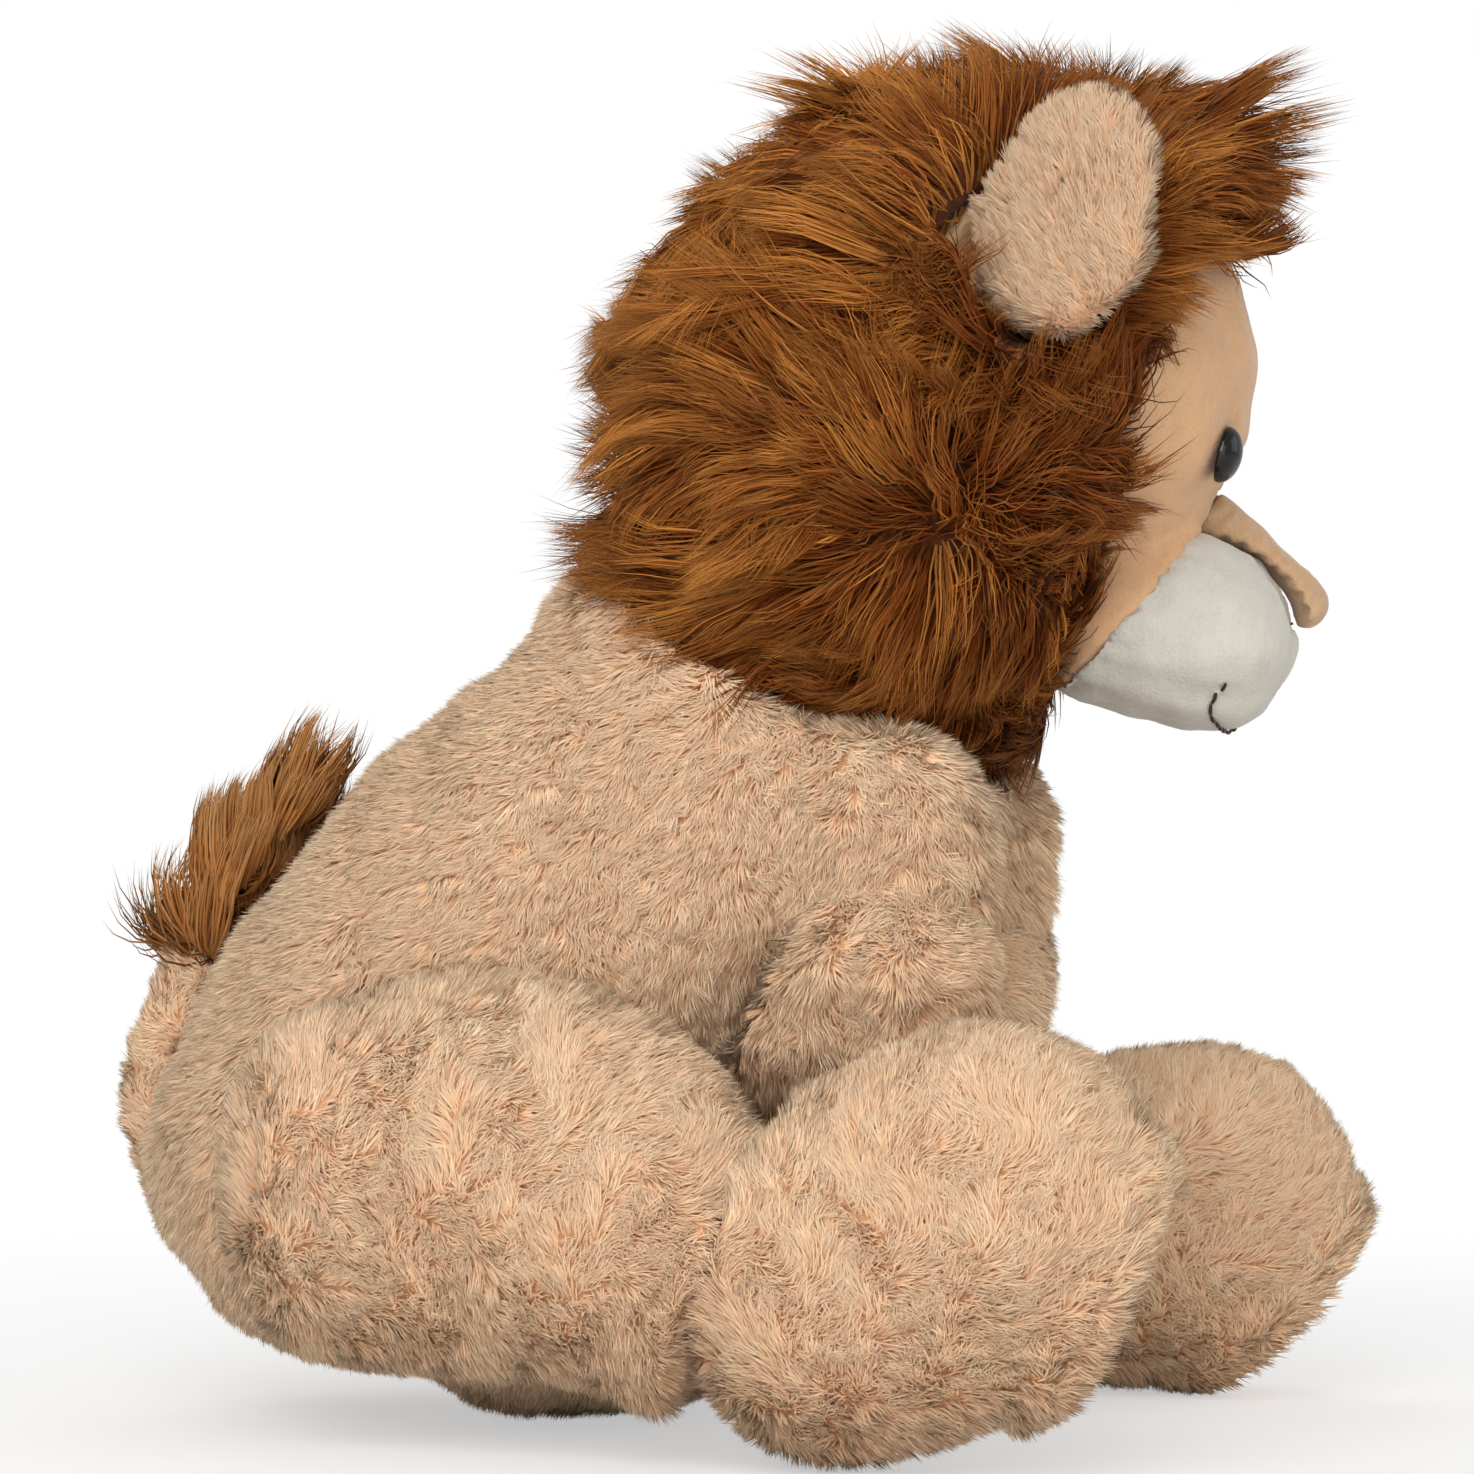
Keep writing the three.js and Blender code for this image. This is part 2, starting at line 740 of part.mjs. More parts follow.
function earForm(side) {
  const e = EAR;
  const { root, up, wide } = earFrame(side);
  const reach = e.length - e.halfThickness - e.tipRound;
  const at = (share) => root.clone().addScaledVector(up, share * reach);
  return solid(
    lobe({
      stations: [
        [at(0), e.rootHalfWidth, e.halfThickness],
        [at(1 / 2), e.halfWidth, e.halfThickness],
        [at(1), e.tipHalfWidth, e.halfThickness],
      ],
      rounds: [e.halfThickness, e.tipRound],
      rings: 6,
      sides: FEW_SIDES,
      sideways: wide,
    }),
  );
}

// The wedge-shaped slot that the ear folds in
function earSlot(side) {
  const e = EAR;
  const { root, up, front } = earFrame(side);
  const half = e.halfThickness + GAP;
  const spread = half + e.length * Math.tan(rad(e.slotAngle));
  const corners = [[-half, -half], [half, -half], [spread, e.length], [-spread, e.length]];
  const wedge = new THREE.Shape(corners.map(([x, y]) => new THREE.Vector2(x, y)));
  const depth = 2 * (e.halfWidth + GAP);
  const geometry = new THREE.ExtrudeGeometry(wedge, { depth, bevelEnabled: false }).translate(0, 0, -depth / 2);
  const pose = new THREE.Matrix4().makeBasis(front, up, front.clone().cross(up)).setPosition(root);
  return solid(geometry.applyMatrix4(pose));
}

function addEars(group) {
  for (const side of SIDE_LIST) {
    const { root, front } = earFrame(side);
    const split = EAR.halfThickness - EAR.liningThickness;
    const whole = earForm(side);
    place(group, `ear_${side.name}`, cut(whole, halfSpace(root, front, split)), cloth(COLOURS.tanPile));
    const lining = common(whole, halfSpace(root, front, split + GAP));
    place(group, `ear_lining_${side.name}`, lining, cloth(COLOURS.tanSmooth));
  }
}

// Mane, a hood of long pile round the head, open at the face and the neck
function addMane(group) {
  const m = MANE;
  const crown = solid(egg(point(0, m.forward, m.up), m.halfWidth, m.halfDepth, m.halfHeight));
  const hood = join(crown, ball(headOrigin, NECK.seatRadius, FINE_SIDES));
  const fringeMiddle = point(0, m.fringeForward, m.fringeUp);
  const fringe = solid(egg(fringeMiddle, m.fringeHalfWidth, m.fringeHalfDepth, m.fringeHalfHeight));
  const behind = cut(hood, headForm(SMOOTH_WALL), halfSpace(hairline, faceNormal));
  const neckHole = bar(headOrigin, downNeck, OVERRUN, around(NECK.wadRadius, SIDES) + GAP);
  const pile = join(behind, cut(fringe, headForm(-GAP)));
  place(group, 'mane', cut(pile, neckHole, ...SIDE_LIST.map(earSlot)), cloth(COLOURS.mane));
}

function addHeadFilling(group) {
  const bossEnd = NECK.wadInner / around(1, FINE_SIDES) - GAP;
  const boss = common(ball(headOrigin, bossEnd, FINE_SIDES), bar(headOrigin, downNeck, OVERRUN, NECK.wadRadius));
  const filling = join(headForm(SMOOTH_WALL + GAP), boss);
  const pockets = [...SIDE_LIST.map(eyePockets), ...SIDE_LIST.map(earSlot)];
  place(group, 'head_filling', cut(filling, ...pockets), cloth(COLOURS.filling));
}

const head = new THREE.Group();
addHeadFilling(head);
addFace(head);
addBridge(head);
addMane(head);
addEars(head);
head.position.copy(neckPivot);
head.quaternion.setFromAxisAngle(neckAxis, rad(NECK.turn));

const lion = new THREE.Group();
addTorso(lion);
addLimbs(lion);
addTail(lion);
lion.add(head);
const footprint = new THREE.Box3().setFromObject(lion, true).getCenter(point(0, 0, 0));
lion.position.set(-footprint.x, -footprint.y, 0);

const model = new THREE.Group();
model.add(lion);

export default model;
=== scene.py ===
"""A seated plush lion: stuffed pile forms, long mane, smooth face and muzzle."""

import math

import bpy
import numpy as np
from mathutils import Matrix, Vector
from mathutils.bvhtree import BVHTree


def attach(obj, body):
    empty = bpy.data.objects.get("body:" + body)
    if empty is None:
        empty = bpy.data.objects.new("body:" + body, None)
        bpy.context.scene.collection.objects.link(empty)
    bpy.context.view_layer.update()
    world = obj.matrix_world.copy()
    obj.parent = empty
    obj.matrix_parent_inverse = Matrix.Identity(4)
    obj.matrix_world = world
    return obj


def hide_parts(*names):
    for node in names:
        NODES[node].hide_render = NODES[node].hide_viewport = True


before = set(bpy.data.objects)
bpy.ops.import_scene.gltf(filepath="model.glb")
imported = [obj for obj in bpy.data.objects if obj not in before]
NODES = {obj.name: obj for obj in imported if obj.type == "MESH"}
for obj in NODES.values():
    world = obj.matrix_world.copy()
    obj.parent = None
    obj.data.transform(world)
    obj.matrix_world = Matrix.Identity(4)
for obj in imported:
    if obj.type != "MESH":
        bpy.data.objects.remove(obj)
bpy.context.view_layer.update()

# how far the lowest cloth and fibres stand over the floor, in metres like all lengths here
FLOOR_GAP = 0.0006
# fibre tips stay inside this box
TIPS_LOW = np.array([-0.230, -0.2955, FLOOR_GAP])
TIPS_HIGH = np.array([0.230, 0.290, 0.6065])
# the row frame's y is the drawing's y plus this
Y_SHIFT = 0.0850909
# the line about which the head turns, and its turn at rest
NECK_AXIS = np.array([0.0, -0.529919, 0.848048])
NECK_PIVOT = np.array([0.0, -0.102909, 0.414])
HEAD_TURN = math.radians(15)
# fibres on each square centimetre: on the body, the ears and the rims of the soles
PILE, EAR_PILE, RIM_PILE = 110, 150, 80
MANE_FIBRES, TUFT_FIBRES = 58000, 5200
MANE_LENGTH, MANE_WIDTH, TUFT_WIDTH = 0.059, 0.0010, 0.0013
# the most fibres in one piece, of short and of long pile
MOST_SHORT, MOST_LONG = 49000, 8800
# how far below the cloth a fibre starts
ROOT_DEPTH = 0.001
# a fibre's width falls to nothing at its tip by this power of the way along
TAPER = 1.6
SIDES = (("right", -1), ("left", 1))
# the direction of the rays that tell inside from outside
PROBE = Vector((0.3141, 0.5271, 0.7896)).normalized()


def grey(level):
    return (level,) * 3 + (1.0,)


def scaled(colour, factor):
    return tuple(min(1.0, c * factor) for c in colour[:3]) + (1.0,)


def srgb(*levels):
    """Linear colour of three display levels from 0 to 255."""
    out = []
    for level in levels:
        c = level / 255
        out.append(c / 12.92 if c <= 0.04045 else ((c + 0.055) / 1.055) ** 2.4)
    return (*out, 1.0)


# the ROOT colours are darker and the TIP colours lighter than the MID ones: painted shade deep in
# the pile and painted light on the tips
TAN_ROOT = srgb(214, 164, 124)
TAN_MID = srgb(241, 197, 158)
TAN_TIP = srgb(253, 226, 192)
TAN_CLOTH = srgb(222, 180, 145)
FACE_CLOTH = srgb(210, 167, 126)
WHITE_CLOTH = srgb(200, 196, 185)
MANE_ROOT = srgb(36, 16, 5)
MANE_MID = srgb(130, 65, 17)
MANE_TIP = srgb(196, 132, 62)
TUFT_ROOT = srgb(110, 66, 32)
TUFT_MID = srgb(158, 98, 44)
TUFT_TIP = srgb(196, 148, 96)
THREAD = srgb(58, 36, 26)
NOSE_CLOTH = srgb(196, 160, 124)


# Arrays


def unit(v):
    """The vectors scaled to length 1."""
    return v / np.maximum(np.linalg.norm(v, axis=-1, keepdims=True), 1e-9)


def dots(a, b):
    return np.sum(a * b, axis=-1, keepdims=True)


def ramp_up(x, start, width):
    """0 up to the start, then up to 1 over that width."""
    return np.clip((x - start) / width, 0, 1)


def ramp_down(x, end, width):
    """1 until that width before the end, then down to 0."""
    return np.clip((end - x) / width, 0, 1)


def close_to(x, reach):
    """1 at zero, and down to 0 at that reach on both sides of it."""
    return np.clip(1 - np.abs(x) / reach, 0, 1)


def waves(points, size, seed, count=7):
    """Smooth noise from about -1 to 1 with bumps of that size."""
    rng = np.random.default_rng(seed)
    total = np.zeros(len(points))
    for _ in range(count):
        k = rng.normal(size=3)
        k *= 2 * math.pi / size / np.linalg.norm(k) * rng.uniform(0.6, 1.5)
        total += np.sin(points @ k + rng.uniform(0, 2 * math.pi))
    return total / math.sqrt(count) * 0.9


def waves3(points, size, seed):
    return np.stack([waves(points, size, seed + i) for i in (11, 23, 37)], axis=1)


def spin(v, axis, angle):
    """Turns each vector about its own unit axis."""
    c, s = np.cos(angle)[:, None], np.sin(angle)[:, None]
    return v * c + np.cross(axis, v) * s + axis * dots(axis, v) * (1 - c)


def about_neck(v, angle):
    c, s = math.cos(angle), math.sin(angle)
    return v * c + np.cross(NECK_AXIS, v) * s + np.outer(v @ NECK_AXIS, NECK_AXIS) * (1 - c)


def to_head(points):
    """From the row frame to the head's own, before its turn, in metres."""
    return about_neck(points - NECK_PIVOT, -HEAD_TURN)


def from_head(points):
    """From the head's own frame to the row frame."""
    return about_neck(np.asarray(points, float), HEAD_TURN) + NECK_PIVOT


def head_vector(v):
    """A direction in the head's own frame, as seen in the row frame."""
    return from_head(np.atleast_2d(v)) - NECK_PIVOT


# Forms


class Form:
    """A closed mesh of quads with its points, faces, edges and normals."""

    def __init__(self, points, faces):
        self.points = points
        self.faces = faces
        ends = np.concatenate([np.stack([faces[:, i], faces[:, (i + 1) % 4]], 1) for i in range(4)])
        self.edges = np.unique(np.sort(ends, axis=1), axis=0)
        self.update()

    def update(self):
        p = self.points[self.faces]
        cross = np.cross(p[:, 2] - p[:, 0], p[:, 3] - p[:, 1])
        self.areas = np.linalg.norm(cross, axis=1) / 2
        normals = np.zeros_like(self.points)
        for i in range(4):
            for axis in range(3):
                normals[:, axis] += np.bincount(self.faces[:, i], cross[:, axis], len(self.points))
        self.normals = unit(normals)
        self.centres = p.mean(axis=1)
        self.face_normals = unit(cross)

    def relax(self, rounds, share=0.5):
        share = np.reshape(share, (-1, 1))
        n = len(self.points)
        a, b = self.edges.T
        count = np.bincount(a, minlength=n) + np.bincount(b, minlength=n)
        for _ in range(rounds):
            mean = np.zeros_like(self.points)
            for axis in range(3):
                mean[:, axis] = np.bincount(a, self.points[b, axis], n)
                mean[:, axis] += np.bincount(b, self.points[a, axis], n)
            self.points += (mean / count[:, None] - self.points) * share
        self.update()
        return self

    def grow(self, amount):
        self.points += self.normals * np.reshape(amount, (-1, 1))
        self.update()
        return self


def egg(centre, radii, rings=16):
    """A closed round mesh to join into a form."""
    points = [(*centre[:2], centre[2] + end * radii[2]) for end in (-1, 1)]
    faces = []
    for i in range(1, rings):
        a = math.pi * i / rings
        for k in range(rings):
            t = 2 * math.pi * k / rings
            place = (math.sin(a) * math.cos(t), math.sin(a) * math.sin(t), -math.cos(a))
            points.append(tuple(c + r * x for c, r, x in zip(centre, radii, place)))
    for k in range(rings):
        n = (k + 1) % rings
        faces.append((0, 2 + n, 2 + k))
        top = 2 + (rings - 2) * rings
        faces.append((1, top + k, top + n))
        for i in range(rings - 2):
            row = 2 + i * rings
            faces.append((row + k, row + n, row + rings + n, row + rings + k))
    return points, faces


def joined(nodes, extra=()):
    """The points and faces of these CAD nodes and extra meshes, in one mesh."""
    meshes = list(extra)
    for name in nodes:
        mesh = NODES[name].data
        meshes.append(([tuple(v.co) for v in mesh.vertices], [f.vertices for f in mesh.polygons]))
    points, faces = [], []
    for more, ends in meshes:
        start = len(points)
        faces += [tuple(i + start for i in f) for f in ends]
        points += more
    return points, faces


def form(nodes, voxel, rounds, grow=0.0, extra=()):
    """One closed form round these CAD nodes, remeshed in voxels and smoothed."""
    points, faces = joined(nodes, extra)
    mesh = bpy.data.meshes.new("raw")
    mesh.from_pydata(points, [], faces)
    raw = bpy.data.objects.new("raw", mesh)
    bpy.context.scene.collection.objects.link(raw)
    step = raw.modifiers.new("voxels", "REMESH")
    step.mode = "VOXEL"
    step.voxel_size = voxel
    done = raw.evaluated_get(bpy.context.evaluated_depsgraph_get()).to_mesh()
    p = np.empty(len(done.vertices) * 3)
    done.vertices.foreach_get("co", p)
    q = np.empty(len(done.loops), np.int32)
    done.loops.foreach_get("vertex_index", q)
    bpy.data.objects.remove(raw)
    made = Form(*largest(p.reshape(-1, 3), q.reshape(-1, 4))).relax(rounds)
    return made.grow(grow) if grow else made


def sink(made, amount, neighbours, reach=0.012):
    """Lowers the backing cloth under its pile, but not where it meets its neighbours."""
    away = np.full(len(made.points), 1.0)
    for name in neighbours:
        away = np.minimum(away, np.maximum(-depth_in(tree_of(name), made.points), 0))
    return made.grow(-amount * np.clip(away / reach, 0.12, 1))


def largest(points, faces):
    """The biggest connected part of a mesh."""
    label = np.arange(len(points))
    while True:
        low = label[faces].min(axis=1)
        new = label.copy()
        for i in range(4):
            np.minimum.at(new, faces[:, i], low)
        new = new[new]
        if np.array_equal(new, label):
            break
        label = new
    names, counts = np.unique(label, return_counts=True)
    kept = label == names[counts.argmax()]
    index = np.cumsum(kept) - 1
    return points[kept], index[faces[kept[faces[:, 0]]]]


def add_mesh(name, points, faces, material, smooth=True):
    mesh = bpy.data.meshes.new(name)
    points = np.asarray(points, np.float32)
    faces = np.asarray(faces, np.int32)
    mesh.vertices.add(len(points))
    mesh.vertices.foreach_set("co", points.ravel())
    mesh.loops.add(faces.size)
    mesh.loops.foreach_set("vertex_index", faces.ravel())
    mesh.polygons.add(len(faces))
    mesh.polygons.foreach_set("loop_start", np.arange(len(faces), dtype=np.int32) * faces.shape[1])
    mesh.update(calc_edges=True)
    mesh.polygons.foreach_set("use_smooth", np.full(len(faces), smooth))
    made = bpy.data.objects.new(name, mesh)
    made.data.materials.append(material)
    bpy.context.scene.collection.objects.link(made)
    return made


def add_form(name, made, material, body, nodes):
    """The cloth of a form, which stands for these CAD nodes."""
    made.points[:, 2] = np.maximum(made.points[:, 2], FLOOR_GAP)
    made.update()
    piece = add_mesh(f"{name}_cloth", made.points, made.faces, material)
    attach(piece, body)
    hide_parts(*nodes)


def tree_of(*names):
    return BVHTree.FromPolygons(*joined(names))


def depth_in(tree, points):
    """How deep each point is inside a solid, in metres; below zero outside."""
    out = np.empty(len(points))
    for i, p in enumerate(points.tolist()):
        reach = tree.find_nearest(p)[3]
        out[i] = reach if reach < 0.08 and crossings(tree, Vector(p)) % 2 else -reach
    return out


def from_surface(points, name):
    """How far each point is from the surface of a CAD node."""
    return np.abs(depth_in(tree_of(name), points))


def crossings(tree, start):
    """How many surfaces a ray from the point passes."""
    count = 0
    while True:
        hit = tree.ray_cast(start, PROBE)[0]
        if hit is None:
            return count
        count += 1
        start = hit + PROBE * 1e-5


def room_over(tree, points, normals, most, otherwise):
    """How far each point is from the surface over it, along its normal."""
    out = np.full(len(points), otherwise)
    for i, (p, n) in enumerate(zip(points.tolist(), normals.tolist())):
        reach = tree.ray_cast(p, n, most)[3]
        if reach is not None:
            out[i] = reach
    return out


def clear_of(made, names, lift=0.004, room=0.0):
    """1 for the faces that show, 0 for those that lie inside their neighbours."""
    shown = np.ones(len(made.faces))
    for name in names:
        deep = depth_in(tree_of(name), made.centres + made.face_normals * lift)
        shown[deep > -room] = 0
    return shown


# Pile


def sample(made, count, rng, weight=None):
    """Random roots on a form, with their normals."""
    share = made.areas * (1 if weight is None else weight)
    picks = rng.choice(len(share), count, p=share / share.sum())
    u, v = rng.random((2, count, 1))
    quad = made.faces[picks]
    mix = [(1 - u) * (1 - v), u * (1 - v), u * v, (1 - u) * v]
    roots = sum(m * made.points[quad[:, i]] for i, m in enumerate(mix))
    normals = unit(sum(m * made.normals[quad[:, i]] for i, m in enumerate(mix)))
    return roots, normals


def clumps(points, size, seed):
    """The number of the lock that each point belongs to."""
    bent = points + waves3(points, size * 3, seed) * size * 0.35
    cells = np.floor(bent / size).astype(np.int64)
    cells -= cells.min(axis=0)
    key = (cells[:, 0] * 4096 + cells[:, 1]) * 4096 + cells[:, 2]
    return np.unique(key, return_inverse=True)[1].ravel()


def mean_by(labels, values):
    n = np.bincount(labels)
    return np.stack([np.bincount(labels, values[:, i]) / n for i in range(3)], 1)[labels]


def strands(name, roots, normals, first, last, length, width, tint, levels, material, body,
            lock, pull, seed, most=MOST_SHORT, facing=0.7, curl=0.0, swell=0.3, wave=0.0):
    """Closed three-sided fibres, drawn into locks, in pieces of a bounded size.

    Each fibre leaves its root along first and ends along last. A lock is a patch of that size
    whose tips are pulled together by that share, and its outer normals swell it.
    """
    rng = np.random.default_rng(seed)
    count = len(roots)
    s = np.linspace(0, 1, levels)
    length = length[:, None]
    spine = []
    sway = waves3(roots, lock * 5, seed + 5) * curl
    for t in s:
        spine.append(roots + length * (first * t + (last - first) * t * t / 2 + sway * t * t))
    labels = clumps(roots, lock, seed)
    if wave:
        # every lock winds its own way
        phase = rng.uniform(0, 2 * math.pi, labels.max() + 1)[labels] + rng.normal(0, 0.35, count)
        turns = rng.uniform(0.7, 1.3, labels.max() + 1)[labels]
        aside = unit(np.cross(last, normals) + 1e-6)
        for i, t in enumerate(s):
            swing = np.sin(phase + turns * 5.5 * t) - np.sin(phase)
            spine[i] += aside * swing[:, None] * wave * t ** 0.7
    target = mean_by(labels, spine[-1])
    apart = unit(roots - mean_by(labels, roots))
    wide = mean_by(clumps(roots, lock * 2.6, seed + 9), target)
    target = target + (wide - target) * 0.3
    own = pull * rng.uniform(0.6, 1.15, (count, 1))
    drawn = [spine[i] + (target - spine[-1]) * own * t ** 1.5 for i, t in enumerate(s)]
    along = unit(drawn[-1] - drawn[0])
    side = unit(np.cross(along, normals) + 1e-6)
    side = spin(side, along, rng.uniform(0, 2 * math.pi, count))
    other = np.cross(along, side)
    size = 3 * (levels - 1) + 1
    points = np.empty((count, size, 3))
    shade = np.empty((count, size, 3))
    lift = normals * facing + along * 0.15 + apart * swell
    for i, t in enumerate(s[:-1]):
        radius = width[:, None] * (1 - t ** TAPER) / 2
        for k in range(3):
            turn = 2 * math.pi * k / 3
            out = side * math.cos(turn) + other * math.sin(turn)
            points[:, 3 * i + k] = drawn[i] + out * radius
            shade[:, 3 * i + k] = unit(lift + out * (1 - facing) * 0.6)
    points[:, -1] = drawn[-1]
    shade[:, -1] = unit(lift)
    points = np.clip(points, TIPS_LOW, TIPS_HIGH)
    strip = [(0, 2, 1)]
    for i in range(levels - 2):
        for k in range(3):
            a, b = 3 * i + k, 3 * i + (k + 1) % 3
            strip += [(a, b, b + 3), (a, b + 3, a + 3)]
    last_ring = 3 * (levels - 2)
    strip += [(last_ring + k, last_ring + (k + 1) % 3, size - 1) for k in range(3)]
    strip = np.array(strip)
    v = np.array(np.repeat(s[:-1], 3).tolist() + [1.0])
    spread = np.resize([-0.004, 0.004, 0.0], size)
    parts = math.ceil(count / most)
    x, y = roots[:, 0], roots[:, 1]
    order = np.argsort(np.arctan2(y - y.mean(), x - x.mean()))
    for part, picks in enumerate(np.array_split(order, parts)):
        n = len(picks)
        f = (strip[None] + (np.arange(n) * size)[:, None, None]).reshape(-1, 3)
        title = name if parts == 1 else f"{name}_{part + 1}"
        piece = add_mesh(title, points[picks].reshape(-1, 3), f, material)
        uv = np.empty((n, size, 2), np.float32)
        uv[:, :, 0] = 0.02 + 0.96 * np.clip(tint[picks], 0, 1)[:, None] + spread
        uv[:, :, 1] = 0.01 + 0.98 * v
        layer = piece.data.uv_layers.new(name="OFBake")
        layer.data.foreach_set("uv", uv.reshape(-1, 2)[f.ravel()].ravel())
        outward = shade[picks].reshape(-1, 3).astype(np.float32)
        piece.data.normals_split_custom_set_from_vertices(outward)
        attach(piece, body)


def lean(normals, flow, angle):
    """Unit directions that lean from the normals towards the flow by an angle, in radians."""
    tangent = unit(flow - normals * dots(flow, normals))
    angle = np.reshape(angle, (-1, 1))
    return normals * np.cos(angle) + tangent * np.sin(angle)


def by_lock(roots, lock, seed, spread):
    """A random number for each lock, the same for all its fibres."""
    labels = clumps(roots, lock, seed)
    return np.random.default_rng(seed + 50).normal(0, spread, labels.max() + 1)[labels]


def short_pile(name, made, weight, per_cm2, flow, body, material, seed, length=0.0135,
               width=0.0012, angle=0.92, swirl=0.6, lock=0.0062):
    """Short tan fibres over a form, leaning with the flow and swirling a little."""
    rng = np.random.default_rng(seed)
    # thinner where the toy sits on it
    weight = weight * np.where(made.centres[:, 2] < 0.012, 0.4, 1.0)
    area = float((made.areas * weight).sum())
    count = int(area * 10000 * per_cm2)
    roots, normals = sample(made, count, rng, weight)
    roots = roots - normals * ROOT_DEPTH
    turn = waves(roots, 0.04, seed + 3) * swirl + by_lock(roots, lock, seed, 0.45)
    field = np.tile(np.array(flow, float), (count, 1))
    field = spin(field, normals, turn + rng.normal(0, 0.4, count))
    tilt = angle + waves(roots, 0.025, seed + 6) * 0.12 + by_lock(roots, lock, seed, 0.12)
    tilt += rng.normal(0, 0.2, count)
    way = lean(normals, field, np.clip(tilt, 0.05, 1.35))
    tint = 0.5 + 0.1 * waves(roots, 0.09, seed + 7) + by_lock(roots, lock, seed, 0.12)
    tint += rng.normal(0, 0.14, count)
    size = length * rng.uniform(0.8, 1.15, count) * (1 + by_lock(roots, lock, seed, 0.12))
    wide = width * rng.uniform(0.7, 1.3, count)
    strands(name, roots, normals, way, way, size, wide, tint, 2, material, body,
            lock=lock, pull=0.6, seed=seed, facing=0.66)


# Materials


class Nodes:
    """A material's node tree with short calls to fill it.

    A value whose name is no property of the node goes to the input of that name.
    """

    def __init__(self, name):
        self.material = bpy.data.materials.new(name)
        self.material.use_nodes = True
        self.tree = self.material.node_tree
        self.shader = next(n for n in self.tree.nodes if n.type == "BSDF_PRINCIPLED")

    def add(self, kind, **values):
        node = self.tree.nodes.new(kind)
        for key, value in values.items():
            if hasattr(node, key):
                setattr(node, key, value)
            else:
                node.inputs[key.replace("_", " ")].default_value = value
        return node

    def link(self, a, b):
        self.tree.links.new(a, b)

    def ramp(self, source, *stops):
        node = self.add("ShaderNodeValToRGB")
        ramp = node.color_ramp
        while len(ramp.elements) < len(stops):
            ramp.elements.new(0.5)
        for element, (place, colour) in zip(ramp.elements, stops):
            element.position = place
            element.color = colour
        self.link(source, node.inputs["Fac"])
        return node.outputs["Color"]

    def mix(self, share, a, b, kind="MIX"):
        node = self.add("ShaderNodeMix", data_type="RGBA", blend_type=kind)
        for socket, value in ((node.inputs[0], share), (node.inputs[6], a), (node.inputs[7], b)):
            if isinstance(value, (int, float, tuple)):
                socket.default_value = value
            else:
                self.link(value, socket)
        return node.outputs[2]

    def noise(self, scale, detail=3.0, stretch=None):
        where = self.add("ShaderNodeTexCoord").outputs["Object"]
        if stretch:
            mapping = self.add("ShaderNodeMapping", Scale=stretch)
            self.link(where, mapping.inputs["Vector"])
            where = mapping.outputs["Vector"]
        node = self.add("ShaderNodeTexNoise", Scale=scale, Detail=detail)
        self.link(where, node.inputs["Vector"])
        return node.outputs["Fac"]

    def bump(self, source, strength, distance):
        node = self.add("ShaderNodeBump", Strength=strength, Distance=distance)
        self.link(source, node.inputs["Height"])
        return node

    def feed(self, socket, source):
        """Links an output to one of the shader's inputs."""
        self.link(source, self.shader.inputs[socket])

    def set(self, **values):
        for key, value in values.items():
            self.shader.inputs[key.replace("_", " ")].default_value = value


def pile_material(name, root, mid, tip, shift, roughness, sheen,
                  specular=0.15, depth=0.45, own_share=0.4):
    """Fibre colour from root to tip along the strip, with each strip's own tint; the darker root is
    painted shade deep in the pile and the lighter tip is painted light.
    """
    m = Nodes(name)
    uv = m.add("ShaderNodeUVMap", uv_map="OFBake")
    split = m.add("ShaderNodeSeparateXYZ")
    m.link(uv.outputs["UV"], split.inputs[0])
    along = m.ramp(split.outputs["Y"], (0.0, root), (depth, mid), (1.0, tip))
    dark, light = scaled(mid, 1 - shift), scaled(tip, 1 + shift)
    own = m.ramp(split.outputs["X"], (0.0, dark), (0.5, mid), (1.0, light))
    m.feed("Base Color", m.mix(own_share, along, own))
    rough = m.add("ShaderNodeMapRange", To_Min=roughness - 0.1, To_Max=roughness + 0.1)
    m.link(split.outputs["X"], rough.inputs["Value"])
    m.feed("Roughness", rough.outputs["Result"])
    m.feed("Normal", m.bump(m.noise(900, 2.0), 0.2, 0.0004).outputs["Normal"])
    m.set(Sheen_Weight=sheen, Sheen_Roughness=0.5, Sheen_Tint=tip, Specular_IOR_Level=specular)
    return m.material


def backing_material(name, low, high):
    """The dense pile under the strips: clumpy colour and bump."""
    m = Nodes(name)
    colour = m.ramp(m.noise(140, 4.0), (0.3, low), (0.7, high))
    m.feed("Base Color", m.mix(m.noise(18, 2.0), colour, m.mix(0.5, colour, high)))
    m.feed("Roughness", m.ramp(m.noise(60, 2.0), (0.2, grey(0.75)), (0.8, grey(0.95))))
    m.feed("Normal", m.bump(m.noise(420, 4.0), 0.9, 0.003).outputs["Normal"])
    m.set(Sheen_Weight=0.1, Sheen_Roughness=0.5, Specular_IOR_Level=0.2)
    return m.material


